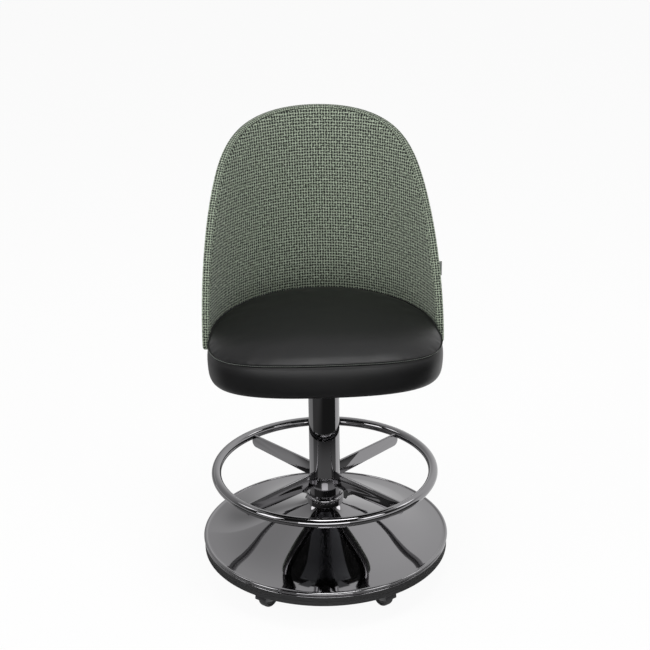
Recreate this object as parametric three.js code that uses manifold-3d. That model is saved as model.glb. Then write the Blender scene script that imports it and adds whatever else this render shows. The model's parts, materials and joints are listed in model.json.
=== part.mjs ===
// Gaming stool: a padded swivel seat with a wrap-around back, on a column with a foot ring and a
// weighted round base that rolls on five casters. Millimetres, +Z up. The seat faces -Y, and the
// origin is on the floor under the column.
import * as THREE from 'three';
import { mergeVertices } from 'three/addons/utils/BufferGeometryUtils.js';
import Module from 'manifold-3d';

const wasm = await Module();
wasm.setup();

// Driving dimensions
const baseRadius = 260;
const ballastThickness = 14;
const columnRadius = 32;
const footRingRadius = 228;
const footRingHeight = 231;
const seatUnderside = 492;
const seatHalfWidth = 233;
const seatFront = 218;
const backHeight = 429;
const backRear = 212;
const wheelRadius = 25;

// Where the main parts come to from those
const casterHeadroom = 12;
const columnDrop = 40;
const backLift = 31;
const backOverhang = 14;
const plateUnderside = 2 * wheelRadius + casterHeadroom;
const columnTop = seatUnderside - columnDrop;
const backBottom = seatUnderside + backLift;
const backTop = backBottom + backHeight;
const backHalfWidth = seatHalfWidth + backOverhang;

// Shared clearances
const fitGap = 0.3;
const cutOverrun = 2;
const mergeDistance = 0.001;

// How finely round things are faceted
const baseSegments = 40;
const columnSegments = 24;
const smallSegments = 16;
const boltSegments = 8;
const wheelSegments = 16;
const hexSides = 6;

// The base stands turned a little under the seat, as it was left when the seat swivelled.
const baseTurn = THREE.MathUtils.degToRad(-3);
const quarterTurn = Math.PI / 2;

const stool = new THREE.Group();
stool.name = 'gaming_stool';
const base = new THREE.Group();
base.rotation.z = baseTurn;
const seat = new THREE.Group();
stool.add(base, seat);

// Finishes, a new material for each piece
const blackNickel = () => new THREE.MeshStandardMaterial({ color: 0x6b6b70, roughness: 0.08, metalness: 1 });
const zincSteel = () => new THREE.MeshStandardMaterial({ color: 0xa9abad, roughness: 0.4, metalness: 1 });
const bareSteel = () => new THREE.MeshStandardMaterial({ color: 0x8f9194, roughness: 0.3, metalness: 1 });
const castIron = () => new THREE.MeshStandardMaterial({ color: 0x2b2b2c, roughness: 0.8, metalness: 0.6 });
const blackRubber = () => new THREE.MeshStandardMaterial({ color: 0x2e2e2f, roughness: 0.85, metalness: 0 });
const blackPlastic = () => new THREE.MeshStandardMaterial({ color: 0x18181a, roughness: 0.45, metalness: 0 });
const whiteNylon = () => new THREE.MeshStandardMaterial({ color: 0xdcdbd4, roughness: 0.5, metalness: 0 });
const plywood = () => new THREE.MeshStandardMaterial({ color: 0xb98f5e, roughness: 0.7, metalness: 0 });
const leatherette = () => new THREE.MeshStandardMaterial({ color: 0x1f1f20, roughness: 0.42, metalness: 0 });
const greenWeave = () => new THREE.MeshStandardMaterial({ color: 0x66755f, roughness: 0.95, metalness: 0 });
const greyTape = () => new THREE.MeshStandardMaterial({ color: 0x8b918b, roughness: 0.9, metalness: 0 });
const dustCloth = () => new THREE.MeshStandardMaterial({ color: 0x1b1b1b, roughness: 0.95, metalness: 0 });

function addPiece(parent, name, geometry, material) {
  const piece = new THREE.Mesh(geometry, material);
  piece.name = name;
  parent.add(piece);
  return piece;
}

// A closed mesh as a solid: shared corners merged, no empty faces, and every face pointing out.
function solidOf(geometry) {
  const bare = geometry.clone();
  bare.deleteAttribute('normal');
  bare.deleteAttribute('uv');
  const merged = mergeVertices(bare, mergeDistance);
  const place = merged.attributes.position.array;
  const corners = merged.index.array;
  const faces = [];
  let volume = 0;
  const [a, b, c] = [new THREE.Vector3(), new THREE.Vector3(), new THREE.Vector3()];
  for (let first = 0; first < corners.length; first += 3) {
    const [i, j, k] = corners.slice(first, first + 3);
    if (i === j || j === k || k === i) continue;
    faces.push([i, j, k]);
    a.fromArray(place, 3 * i);
    b.fromArray(place, 3 * j);
    c.fromArray(place, 3 * k);
    volume += a.dot(b.cross(c));
  }
  const triVerts = new Uint32Array(faces.flatMap(([i, j, k]) => (volume < 0 ? [i, k, j] : [i, j, k])));
  return new wasm.Manifold(new wasm.Mesh({ numProp: 3, vertProperties: new Float32Array(place), triVerts }));
}

function geometryOf(solid) {
  const mesh = solid.getMesh();
  const geometry = new THREE.BufferGeometry();
  geometry.setAttribute('position', new THREE.BufferAttribute(mesh.vertProperties, mesh.numProp));
  geometry.setIndex(new THREE.BufferAttribute(mesh.triVerts, 1));
  return geometry;
}

function joined(first, ...others) {
  return geometryOf(others.reduce((whole, other) => whole.add(solidOf(other)), solidOf(first)));
}

function cutBy(body, ...tools) {
  return geometryOf(tools.reduce((rest, tool) => rest.subtract(solidOf(tool)), solidOf(body)));
}

// A ring or disc turned about Z from a closed outline of [radius, height] points.
function turned(outline, segments) {
  const points = outline.map(([radius, height]) => new THREE.Vector2(radius, height));
  points.push(points[0].clone());
  const lathe = new THREE.LatheGeometry(points, segments);
  lathe.rotateX(quarterTurn);
  return geometryOf(solidOf(lathe));
}

function tube(outer, inner, bottom, top, segments) {
  return turned([[inner, bottom], [outer, bottom], [outer, top], [inner, top]], segments);
}

function disc(radius, bottom, top, segments) {
  return turned([[0, bottom], [radius, bottom], [radius, top], [0, top]], segments);
}

// A flat shape in plan, raised from one height to another.
function slab(shape, bottom, top, curveSegments = boltSegments) {
  const raised = new THREE.ExtrudeGeometry(shape, { depth: top - bottom, bevelEnabled: false, curveSegments });
  raised.translate(0, 0, bottom);
  return raised;
}

// A side view, drawn as [outward, height], with its width along Y about the middle.
function sideSlab(shape, width, curveSegments = boltSegments) {
  const raised = new THREE.ExtrudeGeometry(shape, { depth: width, bevelEnabled: false, curveSegments });
  raised.rotateX(quarterTurn);
  raised.translate(0, width / 2, 0);
  return raised;
}

// A hexagon-head bolt with the underside of its head at the origin and its shank pointing down.
function bolt(size) {
  const head = disc(size.headRadius, 0, size.headHeight, hexSides);
  const shank = disc(size.shankRadius, -size.shankLength, size.headHeight / 2, boltSegments);
  return joined(head, shank);
}

function drilled(body, places, radius, bottom, top) {
  const drills = places.map(([x, y]) => disc(radius, bottom, top, boltSegments).translate(x, y, 0));
  return cutBy(body, ...drills);
}

// Places on a circle, the first at an angle, the rest at even steps.
function around(count, radius, firstAngle) {
  const angles = Array.from({ length: count }, (_, step) => firstAngle + (step * 2 * Math.PI) / count);
  return angles.map((angle) => [radius * Math.cos(angle), radius * Math.sin(angle)]);
}

// Base: the ballast plate, with the bumper ring round it
const ballastTop = plateUnderside + ballastThickness;
const bumperInset = 1.7;
const bumperOuter = baseRadius - bumperInset;
const bumperWidth = 7.7;
const bumperDrop = 5.5;
const bumperChamfer = 2;
const ballastRadius = bumperOuter - bumperWidth - fitGap;
const flangeRadius = 80;
const flangeThickness = 8;
const flangeBoltCircle = 55;
const flangeBolt = { headRadius: 9, headHeight: 6.4, shankRadius: 5, shankLength: 19 };
const boltHoleGap = 0.6;
const blindHoleGap = 1;
const flangeBottom = ballastTop + fitGap;
const flangeTop = flangeBottom + flangeThickness;
const flangeBoltPlaces = around(4, flangeBoltCircle, Math.PI / 4);

function ballastPlate() {
  const plate = disc(ballastRadius, plateUnderside, ballastTop, baseSegments);
  const holeBottom = flangeTop + fitGap - flangeBolt.shankLength - blindHoleGap;
  return drilled(plate, flangeBoltPlaces, flangeBolt.shankRadius + boltHoleGap, holeBottom, ballastTop + cutOverrun);
}

function bumperRing() {
  const inner = bumperOuter - bumperWidth;
  const bottom = plateUnderside - bumperDrop;
  return turned([
    [inner, bottom],
    [bumperOuter - bumperChamfer, bottom],
    [bumperOuter, bottom + bumperChamfer],
    [bumperOuter, ballastTop],
    [inner, ballastTop],
  ], baseSegments);
}

addPiece(base, 'ballast_plate', ballastPlate(), castIron());
addPiece(base, 'bumper_ring', bumperRing(), blackRubber());

// Base: the spun cover, a trumpet from the collar out to its rolled bead and hem
const coverThickness = 2.2;
const beadRadius = 4;
const beadSteps = 5;
const beadLift = 7.5;
const beadHeight = ballastTop + beadLift;
const hemInset = 1.2;
const hemOuter = baseRadius - hemInset;
const hemWidth = 2;
const hemHeight = 1.8;
const grooveDepth = 1.3;
const rimInset = 8;
const rimRise = 9.5;
const neckGap = 4;
const neckRise = 82;
const coverRim = baseRadius - rimInset;
const coverRimHeight = ballastTop + rimRise;
const neckRadius = columnRadius + neckGap;
const neckHeight = ballastTop + neckRise;
const trumpetSteps = 9;
// How steeply the cover falls: [share of the way from the neck to the rim, slope]. A steep neck,
// then nearly a cone, then a shallow dish out to the rim.
const trumpetSlopes = [
  [0, 1],
  [0.055, 0.58],
  [0.11, 0.42],
  [0.2, 0.38],
  [0.46, 0.38],
  [0.6, 0.36],
  [0.69, 0.31],
  [0.78, 0.24],
  [0.875, 0.15],
  [0.94, 0.1],
  [1, 0.085],
];

// How far the slopes fall from the neck to a share of the way, for a way of length 1.
function trumpetFall(share) {
  let fall = 0;
  for (let index = 1; index < trumpetSlopes.length; index += 1) {
    const [start, startSlope] = trumpetSlopes[index - 1];
    const [end, endSlope] = trumpetSlopes[index];
    const reached = Math.min(share, end) - start;
    if (reached > 0) {
      const slope = startSlope + ((endSlope - startSlope) * reached) / (end - start);
      fall += ((startSlope + slope) / 2) * reached;
    }
  }
  return fall;
}

// The height of the cover's top face at a radius.
function trumpetHeight(radius) {
  const share = (radius - neckRadius) / (coverRim - neckRadius);
  const fall = (neckHeight - coverRimHeight) / trumpetFall(1);
  return neckHeight - fall * trumpetFall(share);
}

function baseCover() {
  const radii = Array.from({ length: trumpetSteps + 1 }, (_, step) => {
    return neckRadius + ((coverRim - neckRadius) * step) / trumpetSteps;
  });
  const top = radii.map((radius) => [radius, trumpetHeight(radius)]);
  const underside = radii.map((radius) => [radius, trumpetHeight(radius) - coverThickness]).reverse();
  const beadCentre = baseRadius - beadRadius;
  const bead = Array.from({ length: beadSteps + 1 }, (_, step) => {
    const angle = quarterTurn - (Math.PI * step) / beadSteps;
    return [beadCentre + beadRadius * Math.cos(angle), beadHeight + beadRadius * Math.sin(angle)];
  });
  const hemBottom = ballastTop + fitGap;
  const hem = [
    [hemOuter - grooveDepth, hemBottom + hemHeight],
    [hemOuter, hemBottom + hemHeight / 2],
    [hemOuter, hemBottom],
    [hemOuter - hemWidth, hemBottom],
    [beadCentre - hemWidth, beadHeight - beadRadius],
  ];
  return turned([...top, ...bead, ...hem, ...underside], baseSegments);
}

addPiece(base, 'base_cover', baseCover(), blackNickel());

// Column: its flange, four bolts, the tube and the collar that hides the joint with the cover
const columnWall = 3;
const columnInner = columnRadius - columnWall;
const columnBottom = flangeTop + fitGap;
const collarWidth = 7;
const collarRadius = columnRadius + collarWidth;
const collarHeight = 17;
const collarRound = 4;
const collarRoundShare = 0.3;
const collarLip = 1.6;
const collarBottom = neckHeight + fitGap;

function columnFlange() {
  const plate = disc(flangeRadius, flangeBottom, flangeTop, columnSegments);
  const drillRadius = flangeBolt.shankRadius + boltHoleGap;
  return drilled(plate, flangeBoltPlaces, drillRadius, flangeBottom - cutOverrun, flangeTop + cutOverrun);
}

function collarRing() {
  const inner = columnRadius + fitGap;
  const top = collarBottom + collarHeight;
  return turned([
    [inner, collarBottom],
    [neckRadius + fitGap, collarBottom],
    [collarRadius, collarBottom - collarLip],
    [collarRadius, top - collarRound],
    [collarRadius - collarRound * collarRoundShare, top - collarRound * collarRoundShare],
    [collarRadius - collarRound, top],
    [inner, top],
  ], columnSegments);
}

addPiece(base, 'column_flange', columnFlange(), castIron());
addPiece(base, 'column_tube', tube(columnRadius, columnInner, columnBottom, columnTop, columnSegments), blackNickel());
addPiece(base, 'collar_ring', collarRing(), blackNickel());
flangeBoltPlaces.forEach(([x, y], index) => {
  const piece = addPiece(base, `flange_bolt_${index + 1}`, bolt(flangeBolt), zincSteel());
  piece.position.set(x, y, flangeTop + fitGap);
});

// Foot ring and its four spokes, flat bars on edge from the column to under the ring
const footRingTube = 10;
const footRingSides = 8;
const spokeThickness = 5;
const spokeLift = 3.5;
const spokeTop = footRingHeight + spokeLift;
const spokeEndInset = 4;
const spokeEnd = footRingRadius - spokeEndInset;
const spokeDepthOuter = 28;
const spokeDepthInner = 34;
const spokeCorner = 12;
const spokeCount = 4;

// The spoke's upper outer corner is hollowed to seat the ring, and its lower outer corner is round.
function spoke() {
  const inner = columnRadius + fitGap;
  const seatRadius = footRingTube + fitGap;
  const meetsTop = Math.PI - Math.asin(spokeLift / seatRadius);
  const meetsEnd = Math.PI + Math.acos(spokeEndInset / seatRadius);
  const topMeets = footRingRadius + seatRadius * Math.cos(meetsTop);
  const bottom = spokeTop - spokeDepthOuter;
  const outline = new THREE.Shape();
  outline.moveTo(inner, spokeTop);
  outline.lineTo(inner, spokeTop - spokeDepthInner);
  outline.lineTo(spokeEnd - spokeCorner, bottom);
  outline.absarc(spokeEnd - spokeCorner, bottom + spokeCorner, spokeCorner, -quarterTurn, 0, false);
  outline.absarc(footRingRadius, footRingHeight, seatRadius, meetsEnd, meetsTop, true);
  outline.lineTo(topMeets, spokeTop);
  return sideSlab(outline, spokeThickness, hexSides);
}

const footRing = new THREE.TorusGeometry(footRingRadius, footRingTube, footRingSides, baseSegments);
footRing.translate(0, 0, footRingHeight);
addPiece(base, 'foot_ring', footRing, blackNickel());
for (let index = 0; index < spokeCount; index += 1) {
  const piece = addPiece(base, `foot_spoke_${index + 1}`, spoke(), blackNickel());
  piece.rotation.z = Math.PI / spokeCount + (2 * Math.PI * index) / spokeCount;
}

// Swivel: cap and bushes in the column, a thrust bearing on it, and the spindle of the seat
const spindleRadius = 12.5;
const bushGap = 0.4;
const bushWall = 4;
const capSpigot = 22;
const capFlange = 8;
const lowerBushDrop = 152;
const lowerBushBottom = columnTop - lowerBushDrop;
const lowerBushHeight = 30;
const raceInset = 2;
const raceWidth = 12;
const raceOuter = columnRadius - raceInset;
const raceInner = raceOuter - raceWidth;
const raceThickness = 3;
const ballRadius = 3;
const ballCount = 10;
const ballSides = 6;
const ballRows = 4;
const cageThickness = 2.4;
const cageMargin = 4.5;
const ringGrooveDepth = 1.5;
const ringThickness = 2;
const ringWidth = 5;
const spindleTail = 6;
const capTop = columnTop + fitGap + capFlange;
const bushRadius = spindleRadius + bushGap + bushWall;
const lowerRaceBottom = capTop + fitGap;
const ballPlane = lowerRaceBottom + raceThickness + fitGap + ballRadius;
const upperRaceBottom = ballPlane + ballRadius + fitGap;
const hubBottom = upperRaceBottom + raceThickness + fitGap;
const swivelPlateThickness = 4;
const swivelPlateTop = seatUnderside - fitGap;
const swivelPlateBottom = swivelPlateTop - swivelPlateThickness;

function columnCap() {
  const bore = bushRadius + fitGap;
  const spigot = columnInner - fitGap;
  return turned([
    [bore, columnTop - capSpigot],
    [spigot, columnTop - capSpigot],
    [spigot, columnTop + fitGap],
    [columnRadius, columnTop + fitGap],
    [columnRadius, capTop],
    [bore, capTop],
  ], columnSegments);
}

function ballCage() {
  const ballCircle = (raceInner + raceOuter) / 2;
  const bottom = ballPlane - cageThickness / 2;
  const cage = tube(ballCircle + cageMargin, ballCircle - cageMargin, bottom, bottom + cageThickness, smallSegments);
  const balls = around(ballCount, ballCircle, 0).map(([x, y]) => {
    const ball = new THREE.SphereGeometry(ballRadius, ballSides, ballRows);
    return ball.rotateX(quarterTurn).translate(x, y, ballPlane);
  });
  return joined(cage, ...balls);
}

// The spindle hangs from the hub under the swivel plate and is held below the lower bush by a ring.
function swivelSpindle() {
  const grooveTop = lowerBushBottom - fitGap;
  const grooveBottom = grooveTop - ringThickness - 2 * fitGap;
  const waist = spindleRadius - ringGrooveDepth;
  return turned([
    [0, grooveBottom - spindleTail],
    [spindleRadius, grooveBottom - spindleTail],
    [spindleRadius, grooveBottom],
    [waist, grooveBottom],
    [waist, grooveTop],
    [spindleRadius, grooveTop],
    [spindleRadius, hubBottom],
    [raceOuter, hubBottom],
    [raceOuter, swivelPlateBottom - fitGap],
    [0, swivelPlateBottom - fitGap],
  ], smallSegments);
}

function retainingRing() {
  const inner = spindleRadius - ringGrooveDepth + fitGap;
  const bottom = lowerBushBottom - ringThickness - 2 * fitGap;
  return tube(inner + ringWidth, inner, bottom, bottom + ringThickness, smallSegments);
}

const bushInner = spindleRadius + bushGap;
const lowerBushTop = lowerBushBottom + lowerBushHeight;
const lowerBush = tube(columnInner - fitGap, bushInner, lowerBushBottom, lowerBushTop, columnSegments);
const upperBush = tube(bushRadius, bushInner, columnTop - capSpigot, capTop, columnSegments);
const lowerRace = tube(raceOuter, raceInner, lowerRaceBottom, lowerRaceBottom + raceThickness, smallSegments);
const upperRace = tube(raceOuter, raceInner, upperRaceBottom, upperRaceBottom + raceThickness, smallSegments);
addPiece(base, 'column_cap', columnCap(), bareSteel());
addPiece(base, 'upper_bush', upperBush, whiteNylon());
addPiece(base, 'lower_bush', lowerBush, whiteNylon());
addPiece(base, 'lower_race', lowerRace, bareSteel());
addPiece(base, 'ball_cage', ballCage(), bareSteel());
addPiece(seat, 'upper_race', upperRace, bareSteel());
addPiece(seat, 'swivel_spindle', swivelSpindle(), bareSteel());
addPiece(seat, 'retaining_ring', retainingRing(), zincSteel());

// Casters: five hooded wheels on kingpins under the ballast plate
const casterCount = 5;
const casterInset = 80;
const casterCircle = baseRadius - casterInset;
const casterTrail = 20;
const wheelWidth = 19;
const wheelShoulder = 2.2;
const tyreCrown = 0.8;
const tyreThickness = 6.5;
const tyreInner = wheelRadius - tyreThickness;
const wheelDish = 2.5;
const axleRadius = 3;
const axleGap = 0.5;
const hoodGap = 1.6;
const hoodWall = 2.4;
const hoodSideGap = 0.9;
const cheekThickness = 3.4;
const cheekDrop = 8;
const cheekHalf = 8;
const hoodSteps = 10;
const kingpinRadius = 5;
const bossRadius = 9;
const casterPlateRadius = 25;
const casterPlateThickness = 3;
const casterCupRadius = 16;
const casterCupDepth = 4.2;
const axleHeadHeight = 1.6;
const axleHeadRadius = 5;
const hoodInner = wheelRadius + hoodGap;
const hoodOuter = hoodInner + hoodWall;
const hoodInnerWidth = wheelWidth + 2 * hoodSideGap;
const hoodWidth = hoodInnerWidth + 2 * cheekThickness;
const casterPlateTop = plateUnderside - fitGap;
const casterPlateBottom = casterPlateTop - casterPlateThickness;
const casterCupBottom = casterPlateBottom - casterCupDepth;
const firstCasterAngle = -quarterTurn + Math.PI / casterCount;

function casterPlate() {
  const bore = kingpinRadius + axleGap;
  return turned([
    [bore, casterCupBottom],
    [casterCupRadius, casterCupBottom],
    [casterCupRadius, casterPlateBottom],
    [casterPlateRadius, casterPlateBottom],
    [casterPlateRadius, casterPlateTop],
    [bore, casterPlateTop],
  ], smallSegments);
}

// The hood wraps the upper half of the wheel, and its cheeks come down to carry the axle.
function hoodOutline(radius, drop) {
  const outline = new THREE.Shape();
  outline.moveTo(radius, wheelRadius);
  outline.absarc(0, wheelRadius, radius, 0, Math.PI, false);
  outline.lineTo(-cheekHalf, wheelRadius - drop);
  outline.lineTo(cheekHalf, wheelRadius - drop);
  outline.lineTo(radius, wheelRadius);
  return outline;
}

function casterHood() {
  const boss = disc(bossRadius, wheelRadius, casterCupBottom - fitGap, smallSegments);
  const kingpin = disc(kingpinRadius, wheelRadius, casterPlateTop - fitGap, boltSegments);
  boss.translate(-casterTrail, 0, 0);
  kingpin.translate(-casterTrail, 0, 0);
  const wheelSpace = sideSlab(hoodOutline(hoodInner, wheelRadius), hoodInnerWidth, hoodSteps);
  const axleHole = new THREE.CylinderGeometry(axleRadius + axleGap, axleRadius + axleGap, 2 * hoodWidth, boltSegments);
  axleHole.translate(0, 0, wheelRadius);
  const shell = joined(sideSlab(hoodOutline(hoodOuter, cheekDrop), hoodWidth, hoodSteps), boss, kingpin);
  return cutBy(shell, wheelSpace, axleHole);
}

// The tyre and its hub turn about Y. A flat of the faceted rim faces the floor.
function casterWheel() {
  const reach = 1 / Math.cos(Math.PI / wheelSegments);
  const half = wheelWidth / 2;
  const bore = axleRadius + axleGap;
  const side = [
    [bore, half],
    [tyreInner, half - wheelDish],
    [tyreInner + wheelShoulder, half],
    [(wheelRadius - wheelShoulder) * reach, half],
    [(wheelRadius - tyreCrown) * reach, half - wheelShoulder],
    [wheelRadius * reach, 0],
  ];
  const other = side.slice(0, -1).map(([radius, across]) => [radius, -across]).reverse();
  const points = [...side, ...other, side[0]].map(([radius, across]) => new THREE.Vector2(radius, across));
  const wheel = new THREE.LatheGeometry(points, wheelSegments, Math.PI / wheelSegments);
  return geometryOf(solidOf(wheel.translate(0, 0, wheelRadius)));
}

function casterAxle() {
  const half = hoodWidth / 2;
  const shaft = disc(axleRadius, -half, half + axleHeadHeight / 2, boltSegments);
  const heads = [-1, 1].map((end) => {
    const inner = half + fitGap;
    const head = disc(axleHeadRadius, inner, inner + axleHeadHeight, boltSegments);
    return end < 0 ? head.rotateX(Math.PI) : head;
  });
  const stub = disc(axleRadius, -half - axleHeadHeight, -half + axleHeadHeight, boltSegments);
  return joined(shaft, stub, ...heads).rotateX(quarterTurn).translate(0, 0, wheelRadius);
}

for (let index = 0; index < casterCount; index += 1) {
  const angle = firstCasterAngle + (2 * Math.PI * index) / casterCount;
  const caster = new THREE.Group();
  caster.rotation.z = angle;
  base.add(caster);
  const plate = addPiece(caster, `caster_plate_${index + 1}`, casterPlate(), zincSteel());
  plate.position.x = casterCircle;
  const pieces = [
    addPiece(caster, `caster_hood_${index + 1}`, casterHood(), blackPlastic()),
    addPiece(caster, `caster_axle_${index + 1}`, casterAxle(), zincSteel()),
    addPiece(caster, `caster_wheel_${index + 1}`, casterWheel(), blackRubber()),
  ];
  pieces.forEach((piece) => piece.position.setX(casterCircle + casterTrail));
}

// Backrest: the surface that all its layers follow. It is drawn as seen from above, from the
// middle of the rear round to the right side, and leans back as it rises.
const planSideEnd = -60;
const planRearHandle = 140;
const planSideHandle = 145;
const leanLift = 83;
const leanHeight = seatUnderside + leanLift;
const lean = Math.tan(THREE.MathUtils.degToRad(7));
const backPlan = new THREE.CubicBezierCurve(
  new THREE.Vector2(0, backRear),
  new THREE.Vector2(planRearHandle, backRear),
  new THREE.Vector2(backHalfWidth, planSideEnd + planSideHandle),
  new THREE.Vector2(backHalfWidth, planSideEnd),
);
const backPlanLength = backPlan.getLength();

// A point of the backrest: how far round from the middle of the rear, how high, and how deep
// below the outer face towards the sitter.
function backPoint(round, height, depth) {
  const along = Math.min(Math.abs(round) / backPlanLength, 1);
  const place = backPlan.getPointAt(along);
  const way = backPlan.getTangentAt(along);
  const x = Math.sign(round) * (place.x + depth * way.y);
  const y = place.y - depth * way.x + lean * (height - leanHeight);
  return new THREE.Vector3(x, y, height);
}

// The backrest laid flat: half its outline, from the bottom corner of the wing up to the top.
const wingReach = 373;
const wingCorner = 16;
const wingStraight = 22;
const wingStraightTop = backBottom + wingStraight;
const wingHandle = 85;
const shoulderRound = 265;
const shoulderDrop = 114;
const shoulderHeight = backTop - shoulderDrop;
const shoulderRun = 42;
const shoulderRise = 68;
const topHandle = 170;
const cornerShares = [0, 0.4, 0.75];
const sideShares = [0, 0.26, 0.52, 0.76];
const topShares = [0, 0.2, 0.38, 0.54, 0.69, 0.82, 0.94];

function outlineCurves() {
  const shoulder = new THREE.Vector2(shoulderRound, shoulderHeight);
  const slope = new THREE.Vector2(shoulderRun, -shoulderRise);
  const corner = new THREE.QuadraticBezierCurve(
    new THREE.Vector2(wingReach - wingCorner, backBottom),
    new THREE.Vector2(wingReach, backBottom),
    new THREE.Vector2(wingReach, backBottom + wingCorner),
  );
  const wing = new THREE.CubicBezierCurve(
    new THREE.Vector2(wingReach, wingStraightTop),
    new THREE.Vector2(wingReach, wingStraightTop + wingHandle),
    shoulder.clone().add(slope),
    shoulder,
  );
  const top = new THREE.CubicBezierCurve(
    shoulder,
    shoulder.clone().sub(slope),
    new THREE.Vector2(topHandle, backTop),
    new THREE.Vector2(0, backTop),
  );
  return [[corner, cornerShares], [wing, sideShares], [top, topShares]];
}

// The same samples of the outline at any inset, so that pieces which meet there stay parallel.
function backOutline(inset) {
  return outlineCurves().flatMap(([curve, shares]) => shares.map((share) => {
    const point = curve.getPoint(share);
    const way = curve.getTangent(share);
    return [point.x - inset * way.y, point.y + inset * way.x];
  }));
}

// Backrest: its layers, from the outer face inwards
const coverDepth = 3.5;
const shellThickness = 9;
const edgeDepth = 17;
const padCrown = 11;
const edgeBand = 5;
const edgeRound = 2.5;
const crownPower = 4;
const backColumns = 18;
const shellFront = coverDepth + fitGap + shellThickness;
const padBack = shellFront + fitGap;
const backMiddle = (backTop + backBottom) / 2;
const backHalfHeight = (backTop - backBottom) / 2;

// How deep the padded face lies: as deep as the edge at the outline, and crowned between.
function padFace(roundShare, height) {
  const heightShare = (height - backMiddle) / backHalfHeight;
  return edgeDepth + padCrown * (1 - roundShare ** crownPower) * (1 - heightShare ** crownPower);
}

// Faces between rings of points, each ring closed. The first and last ring are closed by ladders
// of faces across them, or joined to each other where the rings come round. The two halves of a
// ring, and the two halves of a round of rings, are split as mirror images of each other, so that
// layers which face each other stay parallel.
function skin(rings, comesRound) {
  const count = rings[0].length;
  const points = rings.flat();
  const faces = [];
  const ringPairs = comesRound ? rings.length : rings.length - 1;
  for (let ring = 0; ring < ringPairs; ring += 1) {
    const next = (ring + 1) % rings.length;
    for (let step = 0; step < count; step += 1) {
      const beside = (step + 1) % count;
      const [a, b] = [ring * count + step, ring * count + beside];
      const [c, d] = [next * count + beside, next * count + step];
      const mirrored = comesRound && ring > rings.length / 2;
      const split = (step < count / 2) !== mirrored ? [a, b, c, a, c, d] : [a, b, d, b, c, d];
      faces.push(...split);
    }
  }
  if (!comesRound) {
    const last = (rings.length - 1) * count;
    for (let step = 0; step < count / 2 - 1; step += 1) {
      const [a, b, c, d] = [step, step + 1, count - 2 - step, count - 1 - step];
      faces.push(a, c, b, a, d, c);
      faces.push(last + a, last + b, last + c, last + a, last + c, last + d);
    }
  }
  const geometry = new THREE.BufferGeometry();
  geometry.setAttribute('position', new THREE.Float32BufferAttribute(points.flatMap((p) => p.toArray()), 3));
  geometry.setIndex(faces);
  return geometryOf(solidOf(geometry));
}

// One layer of the backrest, between a front and a rear depth given as functions.
function backLayer(frontDepth, rearDepth) {
  const rows = backOutline(edgeBand + fitGap).map(([reach, height]) => {
    const shares = Array.from({ length: backColumns + 1 }, (_, step) => (2 * step) / backColumns - 1);
    const front = shares.map((share) => backPoint(share * reach, height, frontDepth(share, height)));
    const rear = shares.map((share) => backPoint(share * reach, height, rearDepth(share, height)));
    return [...front, ...rear.reverse()];
  });
  return skin(rows, false);
}

// The edge strip: a rounded band that follows the whole outline.
function edgeStrip() {
  const section = [
    [0, edgeRound],
    [0, edgeDepth - edgeRound],
    [edgeRound, edgeDepth],
    [edgeBand, edgeDepth],
    [edgeBand, 0],
    [edgeRound, 0],
  ];
  const lines = section.map(([inset, depth]) => {
    const side = backOutline(inset);
    const [bottomReach, bottomHeight] = side[0];
    const floor = Array.from({ length: backColumns / 2 }, (_, step) => {
      return [(bottomReach * 2 * step) / backColumns, bottomHeight];
    });
    const right = [...floor, ...side];
    const left = right.slice(1).map(([round, height]) => [-round, height]).reverse();
    return [...right, ...left].map(([round, height]) => backPoint(round, height, depth));
  });
  const rings = lines[0].map((_, step) => lines.map((line) => line[step]));
  return skin(rings, true);
}

// Backrest: two steel angle brackets from the seat board up the front of the shell
const bracketRound = 72;
const bracketWidth = 36;
const bracketThickness = 4;
const bracketStandoff = 2.3;
const bracketLeg = 82;
const bracketRise = 78;
const bracketTop = seatUnderside + bracketRise;
const bracketBoltInset = 16;
const pocketGap = 2.2;
const bracketBolt = { headRadius: 6.5, headHeight: 5, shankRadius: 3.5, shankLength: 16 };
const bracketBottom = swivelPlateTop - bracketThickness;
const bracketFoot = backPoint(bracketRound, leanHeight, 0);
const bracketWay = backPlan.getTangentAt(bracketRound / backPlanLength);
const bracketAngle = Math.atan2(-bracketWay.x, bracketWay.y);

// How far towards the sitter the bracket's back face lies, which leans with the shell.
function bracketBack(height) {
  return shellFront + bracketStandoff - lean * bracketWay.x * (height - leanHeight);
}

// The bracket's side view, as [towards the sitter, height], with a margin for the pocket it needs.
function bracketBody(margin) {
  const back = (height) => bracketBack(height) - margin;
  const front = (height) => bracketBack(height) + bracketThickness + margin;
  const bottom = bracketBottom - margin;
  const legTop = swivelPlateTop + margin;
  const top = bracketTop + margin;
  const legEnd = bracketBack(bracketBottom) + bracketLeg + margin;
  const corners = [
    [back(bottom), bottom],
    [legEnd, bottom],
    [legEnd, legTop],
    [front(legTop), legTop],
    [front(top), top],
    [back(top), top],
  ];
  const side = new THREE.Shape(corners.map(([inwards, height]) => new THREE.Vector2(inwards, height)));
  return sideSlab(side, bracketWidth + 2 * margin);
}

// Moves a piece from the bracket's side view to its place on one side of the back.
function placeBracket(geometry, side) {
  geometry.rotateZ(bracketAngle);
  geometry.translate(bracketFoot.x, bracketFoot.y, 0);
  if (side < 0) geometry.scale(-1, 1, 1);
  return geometryOf(solidOf(geometry));
}

function backBracket(side) {
  const hole = disc(bracketBolt.shankRadius + boltHoleGap, bracketBottom - cutOverrun, swivelPlateTop + cutOverrun,
    boltSegments);
  hole.translate(bracketBoltReach, 0, 0);
  return placeBracket(cutBy(bracketBody(0), hole), side);
}

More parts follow.
